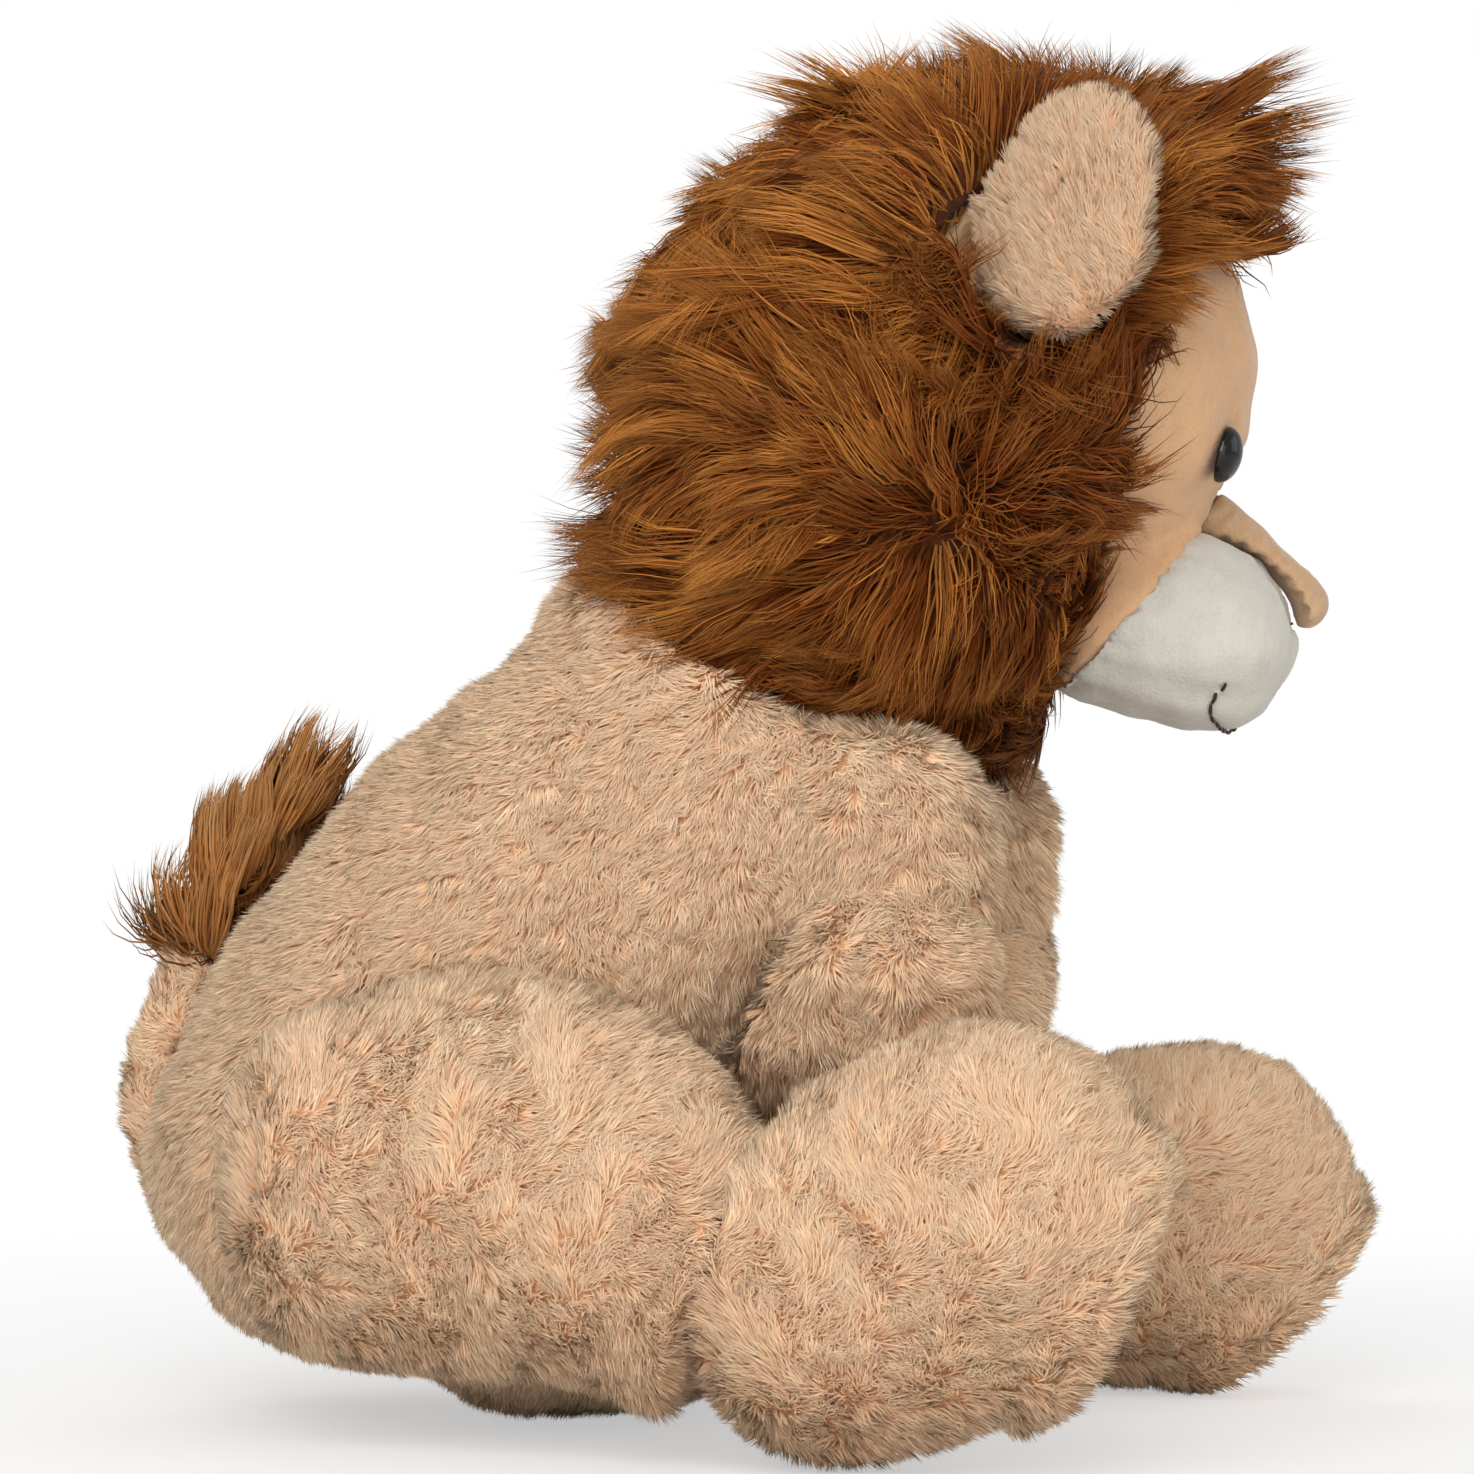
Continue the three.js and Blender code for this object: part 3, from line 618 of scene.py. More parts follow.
def smooth_cloth(name, low, high, grain=700, depth=0.0011):
    """Short smooth plush cloth: lighter and darker patches of painted sheen and shade where the nap
    lies another way, streaks and a fine nap.
    """
    m = Nodes(name)
    # painted sheen and shade: lighter and darker colour patches stand for nap that lies another way
    nap_sheen_patches = m.noise(28, 3.0)
    streaks = m.noise(160, 3.0, (1, 1, 0.35))
    nap = m.noise(grain, 3.0)
    colour = m.ramp(nap_sheen_patches, (0.3, low), (0.7, high))
    colour = m.mix(0.35, colour, m.ramp(streaks, (0.3, low), (0.7, high)))
    colour = m.mix(0.25, colour, m.ramp(nap, (0.3, scaled(low, 0.85)), (0.7, high)))
    m.feed("Base Color", colour)
    m.feed("Roughness", m.ramp(streaks, (0.2, grey(0.7)), (0.8, grey(0.95))))
    fine = m.bump(nap, 0.5, depth)
    m.link(m.bump(streaks, 0.35, 0.002).outputs["Normal"], fine.inputs["Normal"])
    m.feed("Normal", fine.outputs["Normal"])
    m.set(Sheen_Weight=0.3, Sheen_Roughness=0.4, Specular_IOR_Level=0.2)
    return m.material


def glossy(name, low, high):
    """Hard plastic under a thin gloss, with a faint unevenness."""
    m = Nodes(name)
    m.feed("Base Color", m.ramp(m.noise(120, 2.0), (0.3, low), (0.7, high)))
    m.feed("Roughness", m.ramp(m.noise(400, 3.0), (0.3, grey(0.08)), (0.7, grey(0.16))))
    m.feed("Normal", m.bump(m.noise(250, 2.0), 0.05, 0.0003).outputs["Normal"])
    m.set(Coat_Weight=0.15, Coat_Roughness=0.06, Specular_IOR_Level=0.3)
    return m.material


tan_tones = (TAN_ROOT, TAN_MID, TAN_TIP)
tan_pile = pile_material("tan_pile", *tan_tones, shift=0.16, roughness=0.8, sheen=0.12)
ear_tones = (scaled(TAN_ROOT, 0.8), scaled(TAN_MID, 0.76), scaled(TAN_TIP, 0.78))
ear_pile = pile_material("ear_pile", *ear_tones, shift=0.16, roughness=0.8, sheen=0.12)
mane_pile = pile_material("mane_pile", MANE_ROOT, MANE_MID, MANE_TIP, shift=0.6, roughness=0.6,
                          sheen=0.0, specular=0.12, depth=0.6, own_share=0.5)
tuft_pile = pile_material("tuft_pile", TUFT_ROOT, TUFT_MID, TUFT_TIP, shift=0.35, roughness=0.55,
                          sheen=0.0, specular=0.12)
# the backings take the darker root colours, so they carry the painted shade deep in the pile
tan_backing = backing_material("tan_backing", scaled(TAN_ROOT, 0.8), scaled(TAN_ROOT, 1.05))
mane_backing = backing_material("mane_backing", scaled(MANE_ROOT, 0.8), scaled(MANE_MID, 0.5))
tuft_backing = backing_material("tuft_backing", TUFT_ROOT, TUFT_MID)
face_cloth = smooth_cloth("face_cloth", scaled(FACE_CLOTH, 0.84), scaled(FACE_CLOTH, 1.08))
sole_cloth = smooth_cloth("sole_cloth", scaled(TAN_CLOTH, 0.9), scaled(TAN_CLOTH, 1.08))
white_cloth = smooth_cloth("white_cloth", scaled(WHITE_CLOTH, 0.87), scaled(WHITE_CLOTH, 1.05))
nose_cloth = smooth_cloth("nose_cloth", scaled(NOSE_CLOTH, 0.84), scaled(NOSE_CLOTH, 1.08))
fibre = backing_material("fibre", srgb(225, 222, 214), srgb(245, 243, 238))
eye_gloss = glossy("eye_gloss", srgb(10, 9, 9), srgb(20, 17, 15))
washer_white = smooth_cloth("washer_white", srgb(215, 214, 208), srgb(232, 231, 226), 300, 0.0001)
thread = smooth_cloth("thread", scaled(THREAD, 0.7), scaled(THREAD, 1.2), 2500, 0.0003)


# Body


SHOULDERS = {"right": (-0.078, -0.188 + Y_SHIFT, 0.252), "left": (0.078, -0.183 + Y_SHIFT, 0.252)}
# above this height the arm's cloth lies within the shoulder
ARM_TOP = 0.235


def build_torso():
    bulges = []
    for x, y, z in SHOULDERS.values():
        bulges.append(egg((x, y, z), (0.039, 0.056, 0.056)))
        bulges.append(egg((x * 0.95, y, z - 0.03), (0.036, 0.054, 0.036)))
    nodes = ["torso_cover", "torso_filling"]
    torso = form(nodes, voxel=0.005, rounds=4, extra=bulges)
    reach = [np.linalg.norm(torso.points - np.array(p), axis=1) for p in SHOULDERS.values()]
    torso.relax(40, 0.6 * ramp_down(np.min(reach, axis=0), 0.095, 0.03)).grow(-0.005)
    torso.grow(waves(torso.points, 0.11, 3) * 0.0022 + waves(torso.points, 0.045, 4) * 0.0008)
    add_form("torso", torso, tan_backing, "torso", nodes)
    shown = clear_of(torso, ["leg_right", "leg_left"])
    shown *= np.maximum(clear_of(torso, ["arm_right", "arm_left"]), torso.centres[:, 2] > 0.215)
    shown *= clear_of(torso, ["mane", "face", "neck_filling"], 0.004, -0.012)
    short_pile("torso_pile", torso, shown, PILE, (0, 0.25, -1), "torso", tan_pile, 101)


def build_neck():
    wad = form(["neck_filling"], voxel=0.005, rounds=3, grow=-0.001)
    add_form("neck_wad", wad, fibre, "neck", ["neck_filling"])


def build_leg(side, sign):
    name, foot = f"leg_{side}", f"foot_{side}"
    leg = sink(form([name], voxel=0.004, rounds=4), 0.006, [foot, "torso_cover"])
    leg.grow(waves(leg.points, 0.09, 20 + sign) * 0.0018)
    add_form(name, leg, tan_backing, name, [name])
    shown = clear_of(leg, ["torso_cover", "torso_filling", foot])
    short_pile(f"{name}_pile", leg, shown, PILE, (0, -0.8, 0.25), name, tan_pile, 120 + sign,
               swirl=1.1)


def build_foot(side, sign):
    name, body, sole = f"foot_{side}", f"leg_{side}", f"sole_{side}"
    foot = sink(form([name], voxel=0.004, rounds=4), 0.006, [body, sole])
    near = from_surface(foot.points, sole)
    foot.grow(0.002 * close_to(near, 0.006))
    foot.grow(waves(foot.points, 0.08, 30 + sign) * 0.0015)
    add_form(name, foot, tan_backing, body, [name])
    shown = clear_of(foot, [body, sole])
    short_pile(f"{name}_pile", foot, shown, PILE, (0, -0.6, 0.8), body, tan_pile, 130 + sign,
               swirl=1.0)


def build_sole(side, sign):
    """The smooth pad, with a rim of pile where the foot's cloth meets it."""
    name, body, foot = f"sole_{side}", f"leg_{side}", f"foot_{side}"
    sole = form([name], voxel=0.003, rounds=5, grow=-0.001)
    near = from_surface(sole.points, foot)
    sole.grow(0.003 * close_to(near, 0.007))
    add_form(name, sole, sole_cloth, body, [name])
    rim = ramp_up(depth_in(tree_of(foot), sole.centres), -0.011, 0.003)
    short_pile(f"{name}_rim", sole, rim, RIM_PILE, (0, -1, 0.2), body, tan_pile, 135 + sign,
               swirl=0.3, length=0.013)


def build_arm(side, sign):
    name = f"arm_{side}"
    arm = form([name], voxel=0.0035, rounds=4, grow=-0.004)
    arm.grow(-0.006 * ramp_up(arm.points[:, 2], 0.205, 0.02))
    # the stuffing pushes the paw out past the belly, and the near arm's front forward
    deep = [depth_in(tree_of(node), arm.points) for node in ("torso_cover", "torso_filling")]
    outside = np.where(np.maximum(*deep) > 0, 0, ramp_up(-np.minimum(*deep), 0, 0.008))
    height = arm.points[:, 2]
    low = ramp_up(height, 0.125, 0.04) * ramp_down(height, ARM_TOP, 0.04)
    low *= outside
    out, forward = (0.026, 0.014) if side == "right" else (0.020, 0.004)
    arm.points[:, 0] += sign * out * low
    front = np.clip(-arm.normals[:, 1], 0, 1) * low
    arm.points[:, 1] -= forward * front
    arm.relax(4)
    arm.grow(waves(arm.points, 0.06, 40 + sign) * 0.0012)
    add_form(name, arm, tan_backing, name, [name])
    shown = clear_of(arm, ["torso_cover", "torso_filling", "mane"]) * (arm.centres[:, 2] < ARM_TOP)
    short_pile(f"{name}_pile", arm, shown, PILE, (0, -0.25, -1), name, tan_pile, 140 + sign,
               swirl=0.8)


def build_tail():
    tail = form(["tail"], voxel=0.0035, rounds=4)
    near = from_surface(tail.points, "tail_tuft")
    tail.grow(-0.005 * np.clip(near / 0.012, 0.1, 1))
    add_form("tail", tail, tan_backing, "tail", ["tail"])
    shown = clear_of(tail, ["torso_cover"])
    short_pile("tail_pile", tail, shown, PILE, (0, 0.2, 1), "tail", tan_pile, 150,
               swirl=0.8, length=0.010)


def build_tuft():
    rng = np.random.default_rng(160)
    tuft = form(["tail_tuft"], voxel=0.0035, rounds=4)
    near = from_surface(tuft.points, "tail")
    tuft.grow(-0.011 * np.clip(near / 0.012, 0.15, 1))
    add_form("tail_tuft", tuft, tuft_backing, "tail", ["tail_tuft"])
    count = TUFT_FIBRES
    roots, normals = sample(tuft, count, rng)
    flow = unit(np.array([[0.0, -0.45, 1.0]])) + waves3(roots, 0.06, 161) * 0.18
    height = (roots[:, 2] - roots[:, 2].min()) / np.ptp(roots[:, 2])
    tilt = 1.3 - 0.35 * height + rng.normal(0, 0.1, count)
    first = lean(normals, flow, tilt - 0.5)
    last = lean(normals, flow, np.minimum(tilt + 0.45, 1.5))
    size = (0.056 - 0.016 * height) * rng.uniform(0.75, 1.15, count)
    size *= 1 + by_lock(roots, 0.014, 162, 0.15)
    wide = TUFT_WIDTH * rng.uniform(0.7, 1.3, count)
    tint = 0.5 + rng.normal(0, 0.2, count)
    strands("tail_tuft_pile", roots - normals * ROOT_DEPTH, normals, first, last, size, wide, tint,
            5, tuft_pile, "tail", lock=0.014, pull=0.75, seed=162, curl=0.12,
            swell=0.45)


build_torso()
build_neck()
for side, sign in SIDES:
    for build in (build_leg, build_foot, build_sole, build_arm):
        build(side, sign)
build_tail()
build_tuft()


# Head


# places as (y, z) in the head's own frame
# the plane where the mane's cloth ends and the face begins
HAIRLINE = np.array([-0.078, -0.008])
HAIRLINE_TILT = math.radians(13.5)
# the line from which the long pile parts on each side of the head
PARTING = np.array([[-0.040, 0.095], [-0.036, -0.120]])
# the middle of the painted shade in the mane beside the ear, where its fibres are darkened
MANE_SHADE_MIDDLE = (-0.026, 0.022)
# where locks stand up from the outline: place, height and width
PEAKS = ((-0.088, 0.165, 0.022, 0.012), (-0.128, 0.150, 0.012, 0.010),
         (-0.150, 0.100, 0.020, 0.014))


def before_hairline(local):
    """How far a point in the head's own frame stands in front of the hairline."""
    y, z = local[:, 1] - HAIRLINE[0], local[:, 2] - HAIRLINE[1]
    return -y * math.cos(HAIRLINE_TILT) - z * math.sin(HAIRLINE_TILT)


def mane_flow(roots, local):
    """Away from the parting, down at the nape and beard, forward over the brow, with wide turns."""
    start, end = PARTING
    across = end - start
    place = local[:, 1:] + waves3(roots, 0.10, 172)[:, 1:] * 0.012
    share = np.clip((place - start) @ across / (across @ across), 0, 1)
    away = place - start - share[:, None] * across
    reach = np.linalg.norm(away, axis=1, keepdims=True)
    clear = ramp_up(reach, 0, 0.035)
    flow = np.concatenate([np.zeros((len(local), 1)), unit(away) * clear * 1.3], axis=1)
    low = ramp_down(local[:, 2], 0.03, 0.13)
    brow = ramp_up(-local[:, 1], 0.05, 0.05) * ramp_up(local[:, 2], 0.07, 0.03)
    edge = close_to(before_hairline(local) + 0.008, 0.03)
    flow[:, 1] -= 0.5 * brow + 0.8 * edge
    flow[:, 2] -= 0.9 * low + 0.7 * brow
    flow = head_vector(flow)
    flow += waves3(roots, 0.085, 171) * 0.7 + waves3(roots, 0.03, 181) * 0.35
    # every lock goes its own way, more so near the parting
    own = np.stack([by_lock(roots, 0.018, seed, 0.35) for seed in (176, 177, 178)], 1)
    return flow + own * (2.2 - 1.2 * clear)


def build_mane():
    rng = np.random.default_rng(170)
    mane = form(["mane"], voxel=0.005, rounds=5)
    inner = depth_in(tree_of("face", "head_filling", "neck_filling"), mane.points)
    # the pile cloth lies below the CAD surface, but not inside the head
    mane.grow(-0.027 * ramp_up(-inner, 0.006, 0.03))
    mane.relax(6)
    local = to_head(mane.points)
    ahead = before_hairline(local) + 0.006
    low = ramp_down(local[:, 2], 0.085, 0.02)
    back = head_vector(np.array([0, math.cos(HAIRLINE_TILT), math.sin(HAIRLINE_TILT)]))
    mane.points += back * (np.clip(ahead, 0, 0.03) * low)[:, None]
    mane.relax(2)
    add_form("mane", mane, mane_backing, "head", ["mane"])
    weight = clear_of(mane, ["face", "head_filling", "neck_filling"], 0.003, 0.001)
    weight *= clear_of(mane, ["torso_cover", "torso_filling"], 0.01, 0.002) * 0.999 + 0.001
    count = MANE_FIBRES
    roots, normals = sample(mane, count, rng, weight)
    local = to_head(roots)
    flow = mane_flow(roots, local)
    size = MANE_LENGTH * rng.uniform(0.7, 1.15, count) * (1 + by_lock(roots, 0.018, 176, 0.12))
    room = room_over(tree_of("mane"), roots, normals, 0.05, 0.006)
    room += 0.001 + by_lock(roots, 0.015, 175, 0.011) + rng.normal(0, 0.002, count)
    around = np.degrees(np.arctan2(local[:, 2] - 0.023, local[:, 1] + 0.037))
    lower = 0.010 * close_to(around - 68, 45)
    room -= lower - 0.008 * close_to(around, 30)
    for y, z, more, wide in PEAKS:
        room += more * np.exp(-((local[:, 1] - y) ** 2 + (local[:, 2] - z) ** 2) / (2 * wide ** 2))
    tilt = np.arccos(np.clip(room / size, 0.1, 0.8))
    first = lean(normals, flow, np.clip(tilt - 0.4, 0, 1.4))
    last = lean(normals, flow, np.clip(tilt + 0.4, 0, 1.62))
    # fibres that would reach far over the face are shorter, but for some wisps at the temple
    tips = to_head(roots + (first + last) * 0.5 * size[:, None])
    ahead = before_hairline(tips)
    start = before_hairline(local)
    most = 0.012 + rng.normal(0, 0.004, count) + ramp_up(tips[:, 2], 0.08, 0.02) * 0.08
    most -= 0.016 * ramp_down(tips[:, 2], -0.03, 0.04)
    wisps = by_lock(roots, 0.010, 179, 1.0) > 0.4
    most += 0.040 * np.clip(1.3 - np.abs(tips[:, 2] - 0.025) / 0.04, 0, 1) * wisps
    share = np.clip((most - start) / np.maximum(ahead - start, 1e-4), 0.25, 1)
    size = np.where(ahead > most, size * share, size)
    wide = MANE_WIDTH * rng.uniform(0.6, 1.4, count)
    tint = 0.45 + 0.15 * waves(roots, 0.05, 173) + by_lock(roots, 0.013, 174, 0.22)
    tint += rng.normal(0, 0.15, count)
    # painted light and shade: the fibres are lighter towards the back and the top and darker
    # towards the front and the bottom
    tint += np.clip((local[:, 1] + 0.02) / 0.12, -0.1, 0.15) + np.clip(local[:, 2] / 0.5, -0.2, 0.1)
    # painted shade: the fibres are darkened round the middle of the mane beside the ear
    apart = np.linalg.norm(local[:, 1:] - np.array(MANE_SHADE_MIDDLE), axis=1)
    tint -= 0.4 * close_to(apart, 0.10)
    strands("mane_pile", roots - normals * ROOT_DEPTH, normals, first, last, size, wide, tint, 5,
            mane_pile, "head", lock=0.013, pull=0.8, seed=174, most=MOST_LONG,
            curl=0.3, facing=0.42, swell=0.5, wave=0.0035)


def build_ear(side, sign):
    name, inside = f"ear_{side}", f"ear_lining_{side}"
    ear = form([name], voxel=0.0025, rounds=4)
    near = from_surface(ear.points, inside)
    ear.grow(-0.0035 * np.clip(near / 0.008 - 0.25, -0.3, 1))
    add_form(name, ear, tan_backing, name, [name])
    lining = form([inside], voxel=0.0025, rounds=3, grow=0.0006)
    add_form(inside, lining, sole_cloth, name, [inside])
    shown = clear_of(ear, [inside])
    short_pile(f"{name}_pile", ear, shown, EAR_PILE, (0, -0.15, 1), name, ear_pile, 180 + sign,
               length=0.0098, width=0.0010, swirl=0.5, lock=0.005, angle=0.78)


build_mane()
for side, sign in SIDES:
    build_ear(side, sign)


# Eyes


def turned(name, profile, middle, axis, sides, material, body):
    """A smooth turned piece, its profile given as (radius, height) pairs from end to end."""
    across = unit(np.cross(axis, [0.0, 0.0, 1.0]))
    other = np.cross(axis, across)
    points = [middle + axis * profile[0][1]]
    for radius, height in profile[1:-1]:
        for k in range(sides):
            t = 2 * math.pi * k / sides
            out = across * math.cos(t) + other * math.sin(t)
            points.append(middle + axis * height + out * radius)
    points.append(middle + axis * profile[-1][1])
    faces = []
    rings = len(profile) - 2
    for k in range(sides):
        n = (k + 1) % sides
        faces.append((0, 1 + n, 1 + k))
        top = 1 + (rings - 1) * sides
        faces.append((top + k, top + n, len(points) - 1))
        for i in range(rings - 1):
            row = 1 + i * sides
            faces.append((row + k, row + n, row + sides + n))
            faces.append((row + k, row + sides + n, row + sides + k))
    piece = add_mesh(name, points, faces, material)
    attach(piece, body)
    return piece


def axis_of(node):
    """The middle and the axis of a turned CAD node, the axis looking ahead."""
    points = np.array([v.co for v in NODES[node].data.vertices])
    unique = np.unique(points.round(6), axis=0)
    middle = unique.mean(axis=0)
    values, vectors = np.linalg.eigh(np.cov((unique - middle).T))
    apart = [abs(values[1] - values[2]), abs(values[0] - values[2]), abs(values[0] - values[1])]
    axis = vectors[:, int(np.argmin(apart))]
    axis = axis if axis[1] < 0 else -axis
    along = (unique - middle) @ axis
    disc = np.linalg.norm(np.cross(unique - middle, axis), axis=1) > 0.0105
    return middle + axis * along[disc].min(), axis


# a 24 mm safety eye: a dome with a rim on a ribbed shank
EYE_RADIUS, EYE_DOME, EYE_RIM, EYE_SIDES, DOME_STEPS = 0.012, 0.009, 0.0012, 48, 12
SHANK_RADIUS, SHANK_LENGTH, RIBS, RIB_PITCH, RIB_HEIGHT = 0.0025, 0.020, 5, 0.0034, 0.0005
AHEAD = head_vector(np.array([0.0, -1.0, 0.0]))[0]


def eye_profile():
    profile = [(0, -SHANK_LENGTH)]
    for i in range(RIBS):
        at = -SHANK_LENGTH + 0.0015 + i * RIB_PITCH
        profile += [(SHANK_RADIUS, at), (SHANK_RADIUS + RIB_HEIGHT, at + 0.0009),
                    (SHANK_RADIUS, at + 0.0018)]
    profile += [(SHANK_RADIUS, -0.0003), (EYE_RADIUS - 0.0008, 0), (EYE_RADIUS, 0.0004),
                (EYE_RADIUS, EYE_RIM)]
    for i in range(1, DOME_STEPS):
        a = math.pi / 2 * i / DOME_STEPS
        profile.append((EYE_RADIUS * math.cos(a), EYE_RIM + (EYE_DOME - EYE_RIM) * math.sin(a)))
    return profile + [(0, EYE_DOME)]


def build_eye(side):
    """Builds one eye and gives its seat and the direction in which it looks."""
    seat, looks = axis_of(f"eye_{side}")
    looks = unit(looks * 0.45 + AHEAD * 0.55)
    seat = seat - looks * 0.0015
    eye = turned(f"eye_{side}_dome", eye_profile(), seat, looks, EYE_SIDES, eye_gloss, "head")
    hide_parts(f"eye_{side}")
    washer = NODES[f"eye_washer_{side}"].data.materials
    washer.clear()
    washer.append(washer_white)
    return seat, looks


eyes = [build_eye(side) for side, sign in SIDES]


# Face


def build_face():
    face = form(["face", "head_filling"], voxel=0.0033, rounds=5, grow=-0.0012)
    for seat, looks in eyes:
        # the eye pulls the cloth in round its rim
        offset = face.points - seat
        ahead = offset @ looks + 0.0006
        reach = np.linalg.norm(offset - np.outer(offset @ looks, looks), axis=1)
        near = ramp_down(reach, 0.021, 0.008) * (np.abs(ahead) < 0.02)
        face.points -= looks * (np.maximum(ahead, 0) * near * near * (3 - 2 * near))[:, None]
    face.relax(1)
    face.grow(waves(face.points, 0.05, 200) * 0.0009 + waves(face.points, 0.018, 201) * 0.0003)
    # the cloth rises to the seams that it shares with the muzzle and the bridge, and is
    # pressed in behind them
    front = tree_of("muzzle_right", "muzzle_left", "nose_bridge")
    seam = np.abs(depth_in(front, face.points))
    hidden = room_over(front, face.points + face.normals * 0.002, face.normals, 0.08, 0.0) > 0
    ahead = ramp_up(-to_head(face.points)[:, 1], 0.118, 0.02)
    rise = 0.003 * close_to(seam, 0.006)
    face.grow(np.where(hidden, 0.0015 - 0.0135 * ahead, rise))
    add_form("face", face, face_cloth, "head", ["face", "head_filling"])


def build_muzzle(side, sign):
    """One half of the muzzle, with puckers at its seams, tapered to the front and tucked in."""
    name, other = f"muzzle_{side}", "muzzle_left" if side == "right" else "muzzle_right"
    muzzle = form([name], voxel=0.0025, rounds=4)
    neighbours = ("face", "nose_bridge", other)
    to_face, to_bridge, to_half = (from_surface(muzzle.points, n) for n in neighbours)
    near = close_to(np.minimum(to_face, to_bridge), 0.014)
    rise = waves(muzzle.points, 0.011, 210 + sign) * 0.0012 * near
    rise -= 0.0022 * close_to(to_bridge, 0.02)
    rise -= 0.0008 * near ** 3
    rise += waves(muzzle.points, 0.035, 212 + sign) * 0.0012
    rise += waves(muzzle.points, 0.015, 216 + sign) * 0.0003
    muzzle.grow(rise)
    local = to_head(muzzle.points)
    taper = ramp_up(np.abs(local[:, 0]), 0.002, 0.018)
    taper *= ramp_up(-local[:, 1], 0.11, 0.05)
    tuck = close_to(to_face, 0.004)
    close = 0.0015 * close_to(to_half, 0.003)
    muzzle.points += head_vector([0.0, 1.0, 0.0]) * (0.008 * taper + 0.003 * tuck)[:, None]
    muzzle.points += head_vector([-sign, 0.0, 0.0]) * close[:, None]
    add_form(name, muzzle, white_cloth, "head", [name])
    return muzzle


def build_bridge():
    """The padded strip down to the nose's end, with gathered folds at its sides."""
    bridge = form(["nose_bridge"], voxel=0.002, rounds=4, grow=-0.0002)
    local = to_head(bridge.points)
    along = local[:, 1] * -0.72 + local[:, 2] * -0.69
    aside = ramp_up(np.abs(local[:, 0]), 0.006, 0.010)
    folds = np.sin(along * 2 * math.pi / 0.0075 + waves(bridge.points, 0.02, 220) * 1.5)
    bridge.grow(folds * 0.0011 * aside + waves(bridge.points, 0.02, 221) * 0.0007 + 0.0006)
    add_form("nose_bridge", bridge, nose_cloth, "head", ["nose_bridge"])


build_face()
muzzles = {side: build_muzzle(side, sign) for side, sign in SIDES}
build_bridge()


# Stitches


# each stitch is a tube of rings, with this many places round each ring
STITCH_RINGS, STITCH_SIDES = 7, 8


def stitches(name, path, piece, out, radius, pitch):
    """Short thread stitches laid end to end along a path on a form's surface."""
    tree = BVHTree.FromPolygons(piece.points.tolist(), piece.faces.tolist())
    dense = []
    for a, b in zip(path[:-1], path[1:]):
        steps = max(2, int(np.linalg.norm(b - a) / 0.001))
        dense += [a + (b - a) * i / steps for i in range(steps)]
    dense.append(path[-1])
    laid, lifts = [], []
    for p in dense:
        place, normal, _, _ = tree.find_nearest(Vector(p))
        laid.append(np.array(place))
        lifts.append(np.array(normal))
    laid, lifts = np.array(laid), np.array(lifts)
    for _ in range(6):
        laid[1:-1] = (laid[:-2] + laid[1:-1] * 2 + laid[2:]) / 4
    run = np.concatenate([[0], np.cumsum(np.linalg.norm(np.diff(laid, axis=0), axis=1))])
    count = max(1, round(run[-1] / pitch))
    points, faces = [], []
    for i in range(count):
        t = np.linspace(i / count, (i + 1) / count, STITCH_RINGS) * run[-1]
        spine = np.stack([np.interp(t, run, laid[:, k]) for k in range(3)], 1)
        lift = unit(np.stack([np.interp(t, run, lifts[:, k]) for k in range(3)], 1))
        arch = np.sin(np.linspace(0, math.pi, STITCH_RINGS))[:, None]
        spine = spine + lift * (out + arch * radius * 0.9)
        way = unit(np.gradient(spine, axis=0))
        across = unit(np.cross(way, lift))
        up = np.cross(across, way)
        start = len(points)
        sides, last = STITCH_SIDES, STITCH_RINGS - 1
        for j in range(STITCH_RINGS):
            r = radius * (0.6 + 0.4 * math.sin(math.pi * j / last))
            for k in range(sides):
                a = 2 * math.pi * k / sides
                points.append(spine[j] + across[j] * math.cos(a) * r + up[j] * math.sin(a) * r)
        for j in range(last):
            for k in range(sides):
                n = (k + 1) % sides
                p, q = start + j * sides, start + (j + 1) * sides
                faces += [(p + k, q + k, q + n), (p + k, q + n, p + n)]
        for end, first in ((0, start), (last, start + last * sides)):
            middle = len(points)
            points.append(spine[end])
            for k in range(sides):
                n = (k + 1) % sides
                a, b = (n, k) if end else (k, n)
                faces.append((middle, first + a, first + b))
    made = add_mesh(name, points, faces, thread)
    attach(made, "head")


def drawn(*places):
    """Points of the head's own frame, in millimetres, in the row frame."""
    return from_head(np.array(places) / 1000)


nose = drawn((-1.2, -161, -75), (-1.2, -159, -84), (-1.2, -157, -90), (-1.2, -154, -97),
             (-1.2, -148, -104))
stitches("nose_stitches", nose, muzzles["right"], 0.0010, 0.0011, 0.008)
MOUTH = ((1.5, -148, -104), (8, -141, -112), (16, -133, -117), (28, -127, -117.5),
         (38, -124, -115), (44.3, -122.6, -111.6), (48.4, -119.9, -108.6), (53.2, -118.8, -104.7),
         (56.8, -121.6, -99.8), (60.5, -126.1, -94.9))
for side, sign in SIDES:
    mouth = drawn(*((sign * x, y, z) for x, y, z in MOUTH))
    stitches(f"mouth_stitches_{side}", mouth, muzzles[side], 0.0006, 0.0009, 0.006)


# Stage


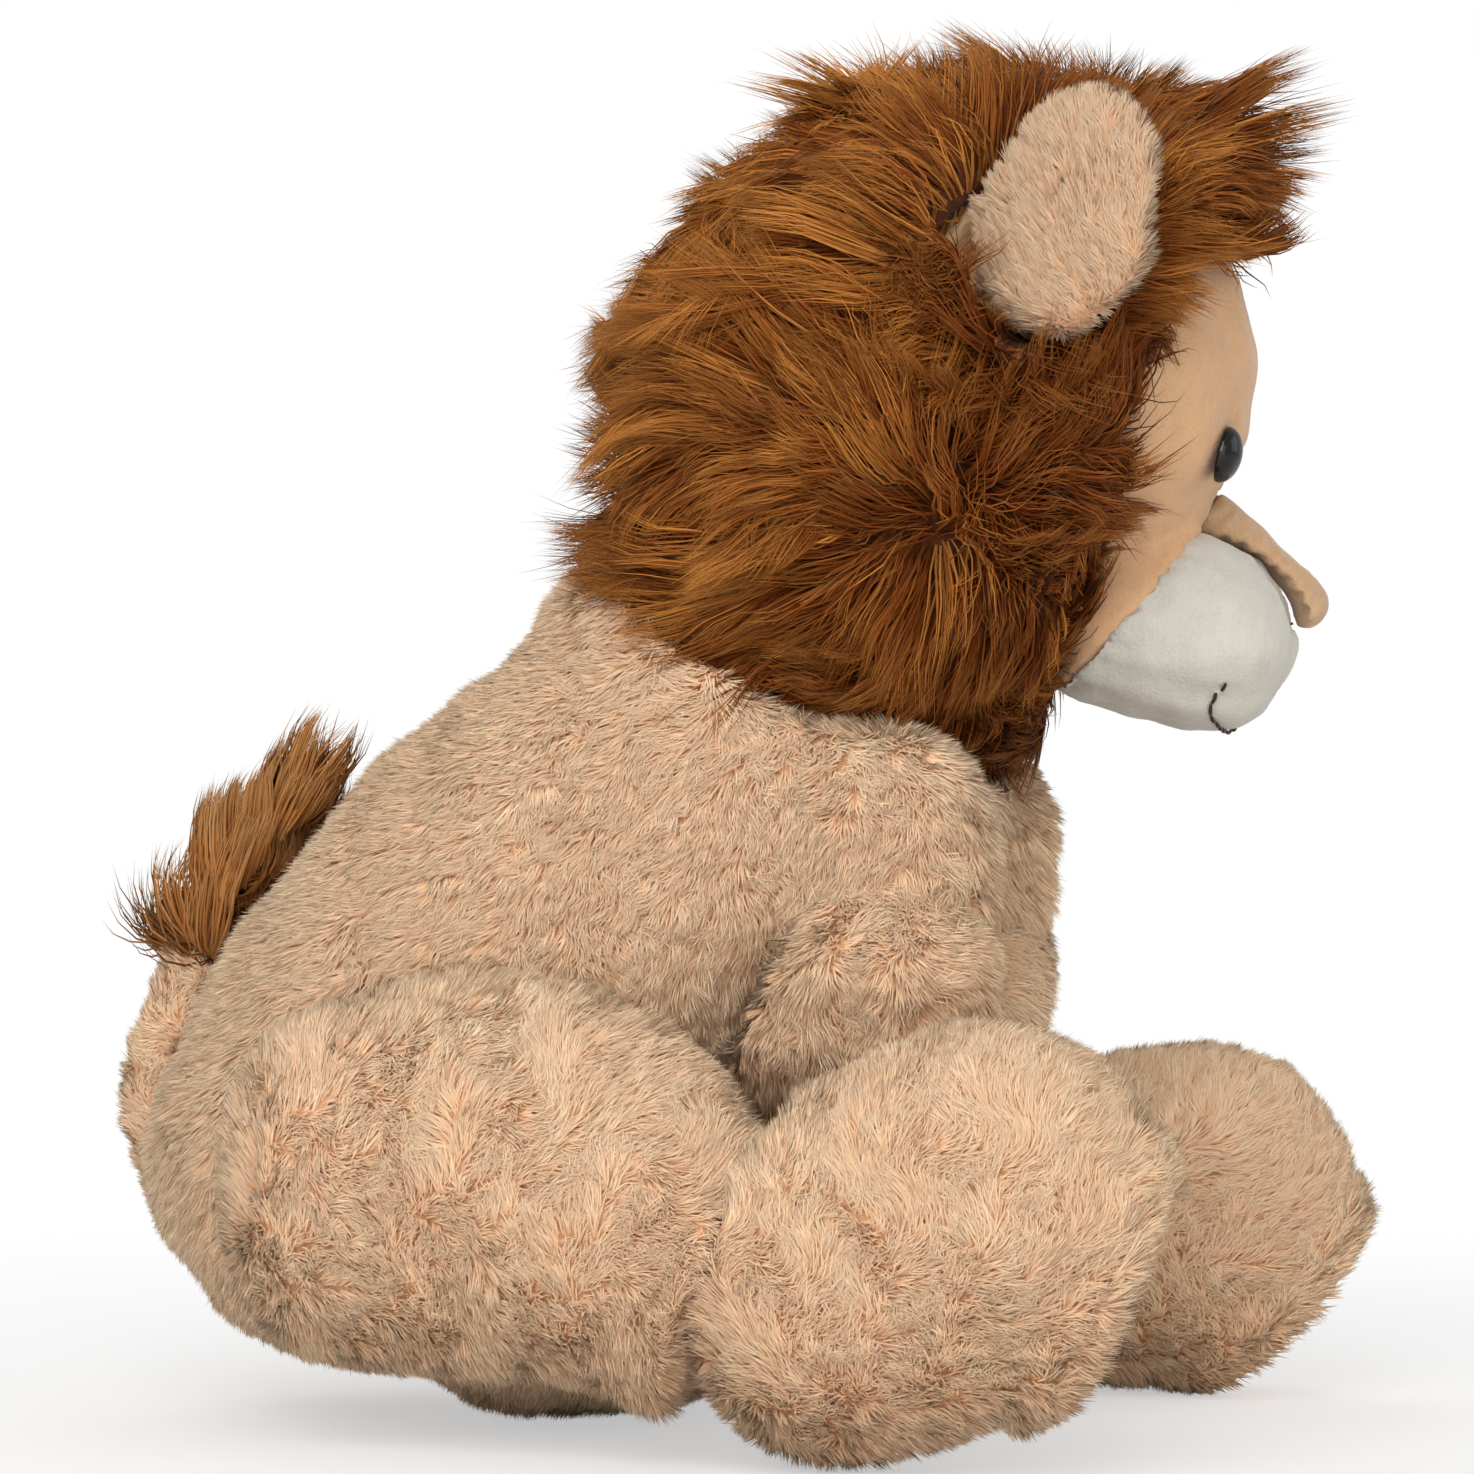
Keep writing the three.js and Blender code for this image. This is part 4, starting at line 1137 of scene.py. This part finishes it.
def backdrop_material():
    """A pale floor that keeps the shadow near the object and turns white away from it."""
    m = Nodes("studio_floor")
    m.feed("Base Color", m.ramp(m.noise(2.0, 2.0), (0.3, grey(0.88)), (0.7, grey(0.91))))
    m.set(Roughness=0.9)
    where = m.add("ShaderNodeTexCoord").outputs["Object"]
    reach = m.add("ShaderNodeVectorMath", operation="LENGTH")
    m.link(where, reach.inputs[0])
    fade = m.add("ShaderNodeMapRange", interpolation_type="SMOOTHSTEP",
                 From_Min=0.3, From_Max=1.2, To_Min=0.5)
    m.link(reach.outputs["Value"], fade.inputs["Value"])
    path = m.add("ShaderNodeLightPath")
    seen = m.add("ShaderNodeMath", operation="MULTIPLY")
    m.link(fade.outputs["Result"], seen.inputs[0])
    m.link(path.outputs["Is Camera Ray"], seen.inputs[1])
    white = m.add("ShaderNodeEmission")
    choose = m.add("ShaderNodeMixShader")
    m.link(seen.outputs[0], choose.inputs[0])
    m.link(m.shader.outputs[0], choose.inputs[1])
    m.link(white.outputs[0], choose.inputs[2])
    output = next(n for n in m.tree.nodes if n.type == "OUTPUT_MATERIAL")
    m.link(choose.outputs[0], output.inputs[0])
    return m.material


FLOOR_REACH = 6
corners = [(x * FLOOR_REACH, y * FLOOR_REACH, 0) for x, y in ((-1, -1), (1, -1), (1, 1), (-1, 1))]
floor = add_mesh("floor", corners, [(0, 1, 2, 3)], backdrop_material(), False)

# the object is lit by a soft sky, and the camera sees white behind it
world = bpy.data.worlds.new("studio")
bpy.context.scene.world = world
world.use_nodes = True
tree = world.node_tree
tree.nodes.clear()
out = tree.nodes.new("ShaderNodeOutputWorld")
choose = tree.nodes.new("ShaderNodeMixShader")
path = tree.nodes.new("ShaderNodeLightPath")
tree.links.new(path.outputs["Is Camera Ray"], choose.inputs["Fac"])
for socket, colour, strength in ((1, (1.0, 0.99, 0.975, 1), 0.55), (2, (1, 1, 1, 1), 1.0)):
    sky = tree.nodes.new("ShaderNodeBackground")
    sky.inputs["Color"].default_value = colour
    sky.inputs["Strength"].default_value = strength
    tree.links.new(sky.outputs[0], choose.inputs[socket])
tree.links.new(choose.outputs[0], out.inputs["Surface"])


# the side of each square lamp
LAMP_SIDE = 1.8


def lamp(name, place, target, power):
    data = bpy.data.lights.new(name, "AREA")
    data.shape = "SQUARE"
    data.size = LAMP_SIDE
    data.energy = power
    made = bpy.data.objects.new(name, data)
    made.location = place
    made.rotation_mode = "QUATERNION"
    made.rotation_quaternion = (Vector(target) - made.location).to_track_quat("-Z", "Y")
    bpy.context.scene.collection.objects.link(made)


lamp("key", (-2.1, -0.1, 1.5), (0, 0, 0.25), 37)
lamp("fill", (-2.3, -1.0, 0.7), (0, 0, 0.25), 12)
lamp("front", (0.6, -2.6, 1.2), (0, 0, 0.3), 9)
lamp("back", (1.6, 0.8, 1.8), (0, 0, 0.3), 14)


# Camera


# in degrees, metres and millimetres
AZIMUTH, ELEVATION, DISTANCE, LENS, SENSOR = -74, -2, 1.9, 106.73, 36
TARGET = Vector((0, -0.0199, 0.295))
camera = bpy.data.objects.new("camera", bpy.data.cameras.new("camera"))
camera.data.lens = LENS
camera.data.sensor_width = SENSOR
turn, rise = math.radians(AZIMUTH), math.radians(ELEVATION)
back = Vector((math.sin(turn) * math.cos(rise), -math.cos(turn) * math.cos(rise), math.sin(rise)))
camera.location = TARGET + back * DISTANCE
camera.rotation_mode = "QUATERNION"
camera.rotation_quaternion = (-back).to_track_quat("-Z", "Y")
camera.data.clip_start = 0.05
camera.data.clip_end = 50
bpy.context.scene.collection.objects.link(camera)
bpy.context.scene.camera = camera
bpy.context.scene.view_settings.view_transform = "Standard"
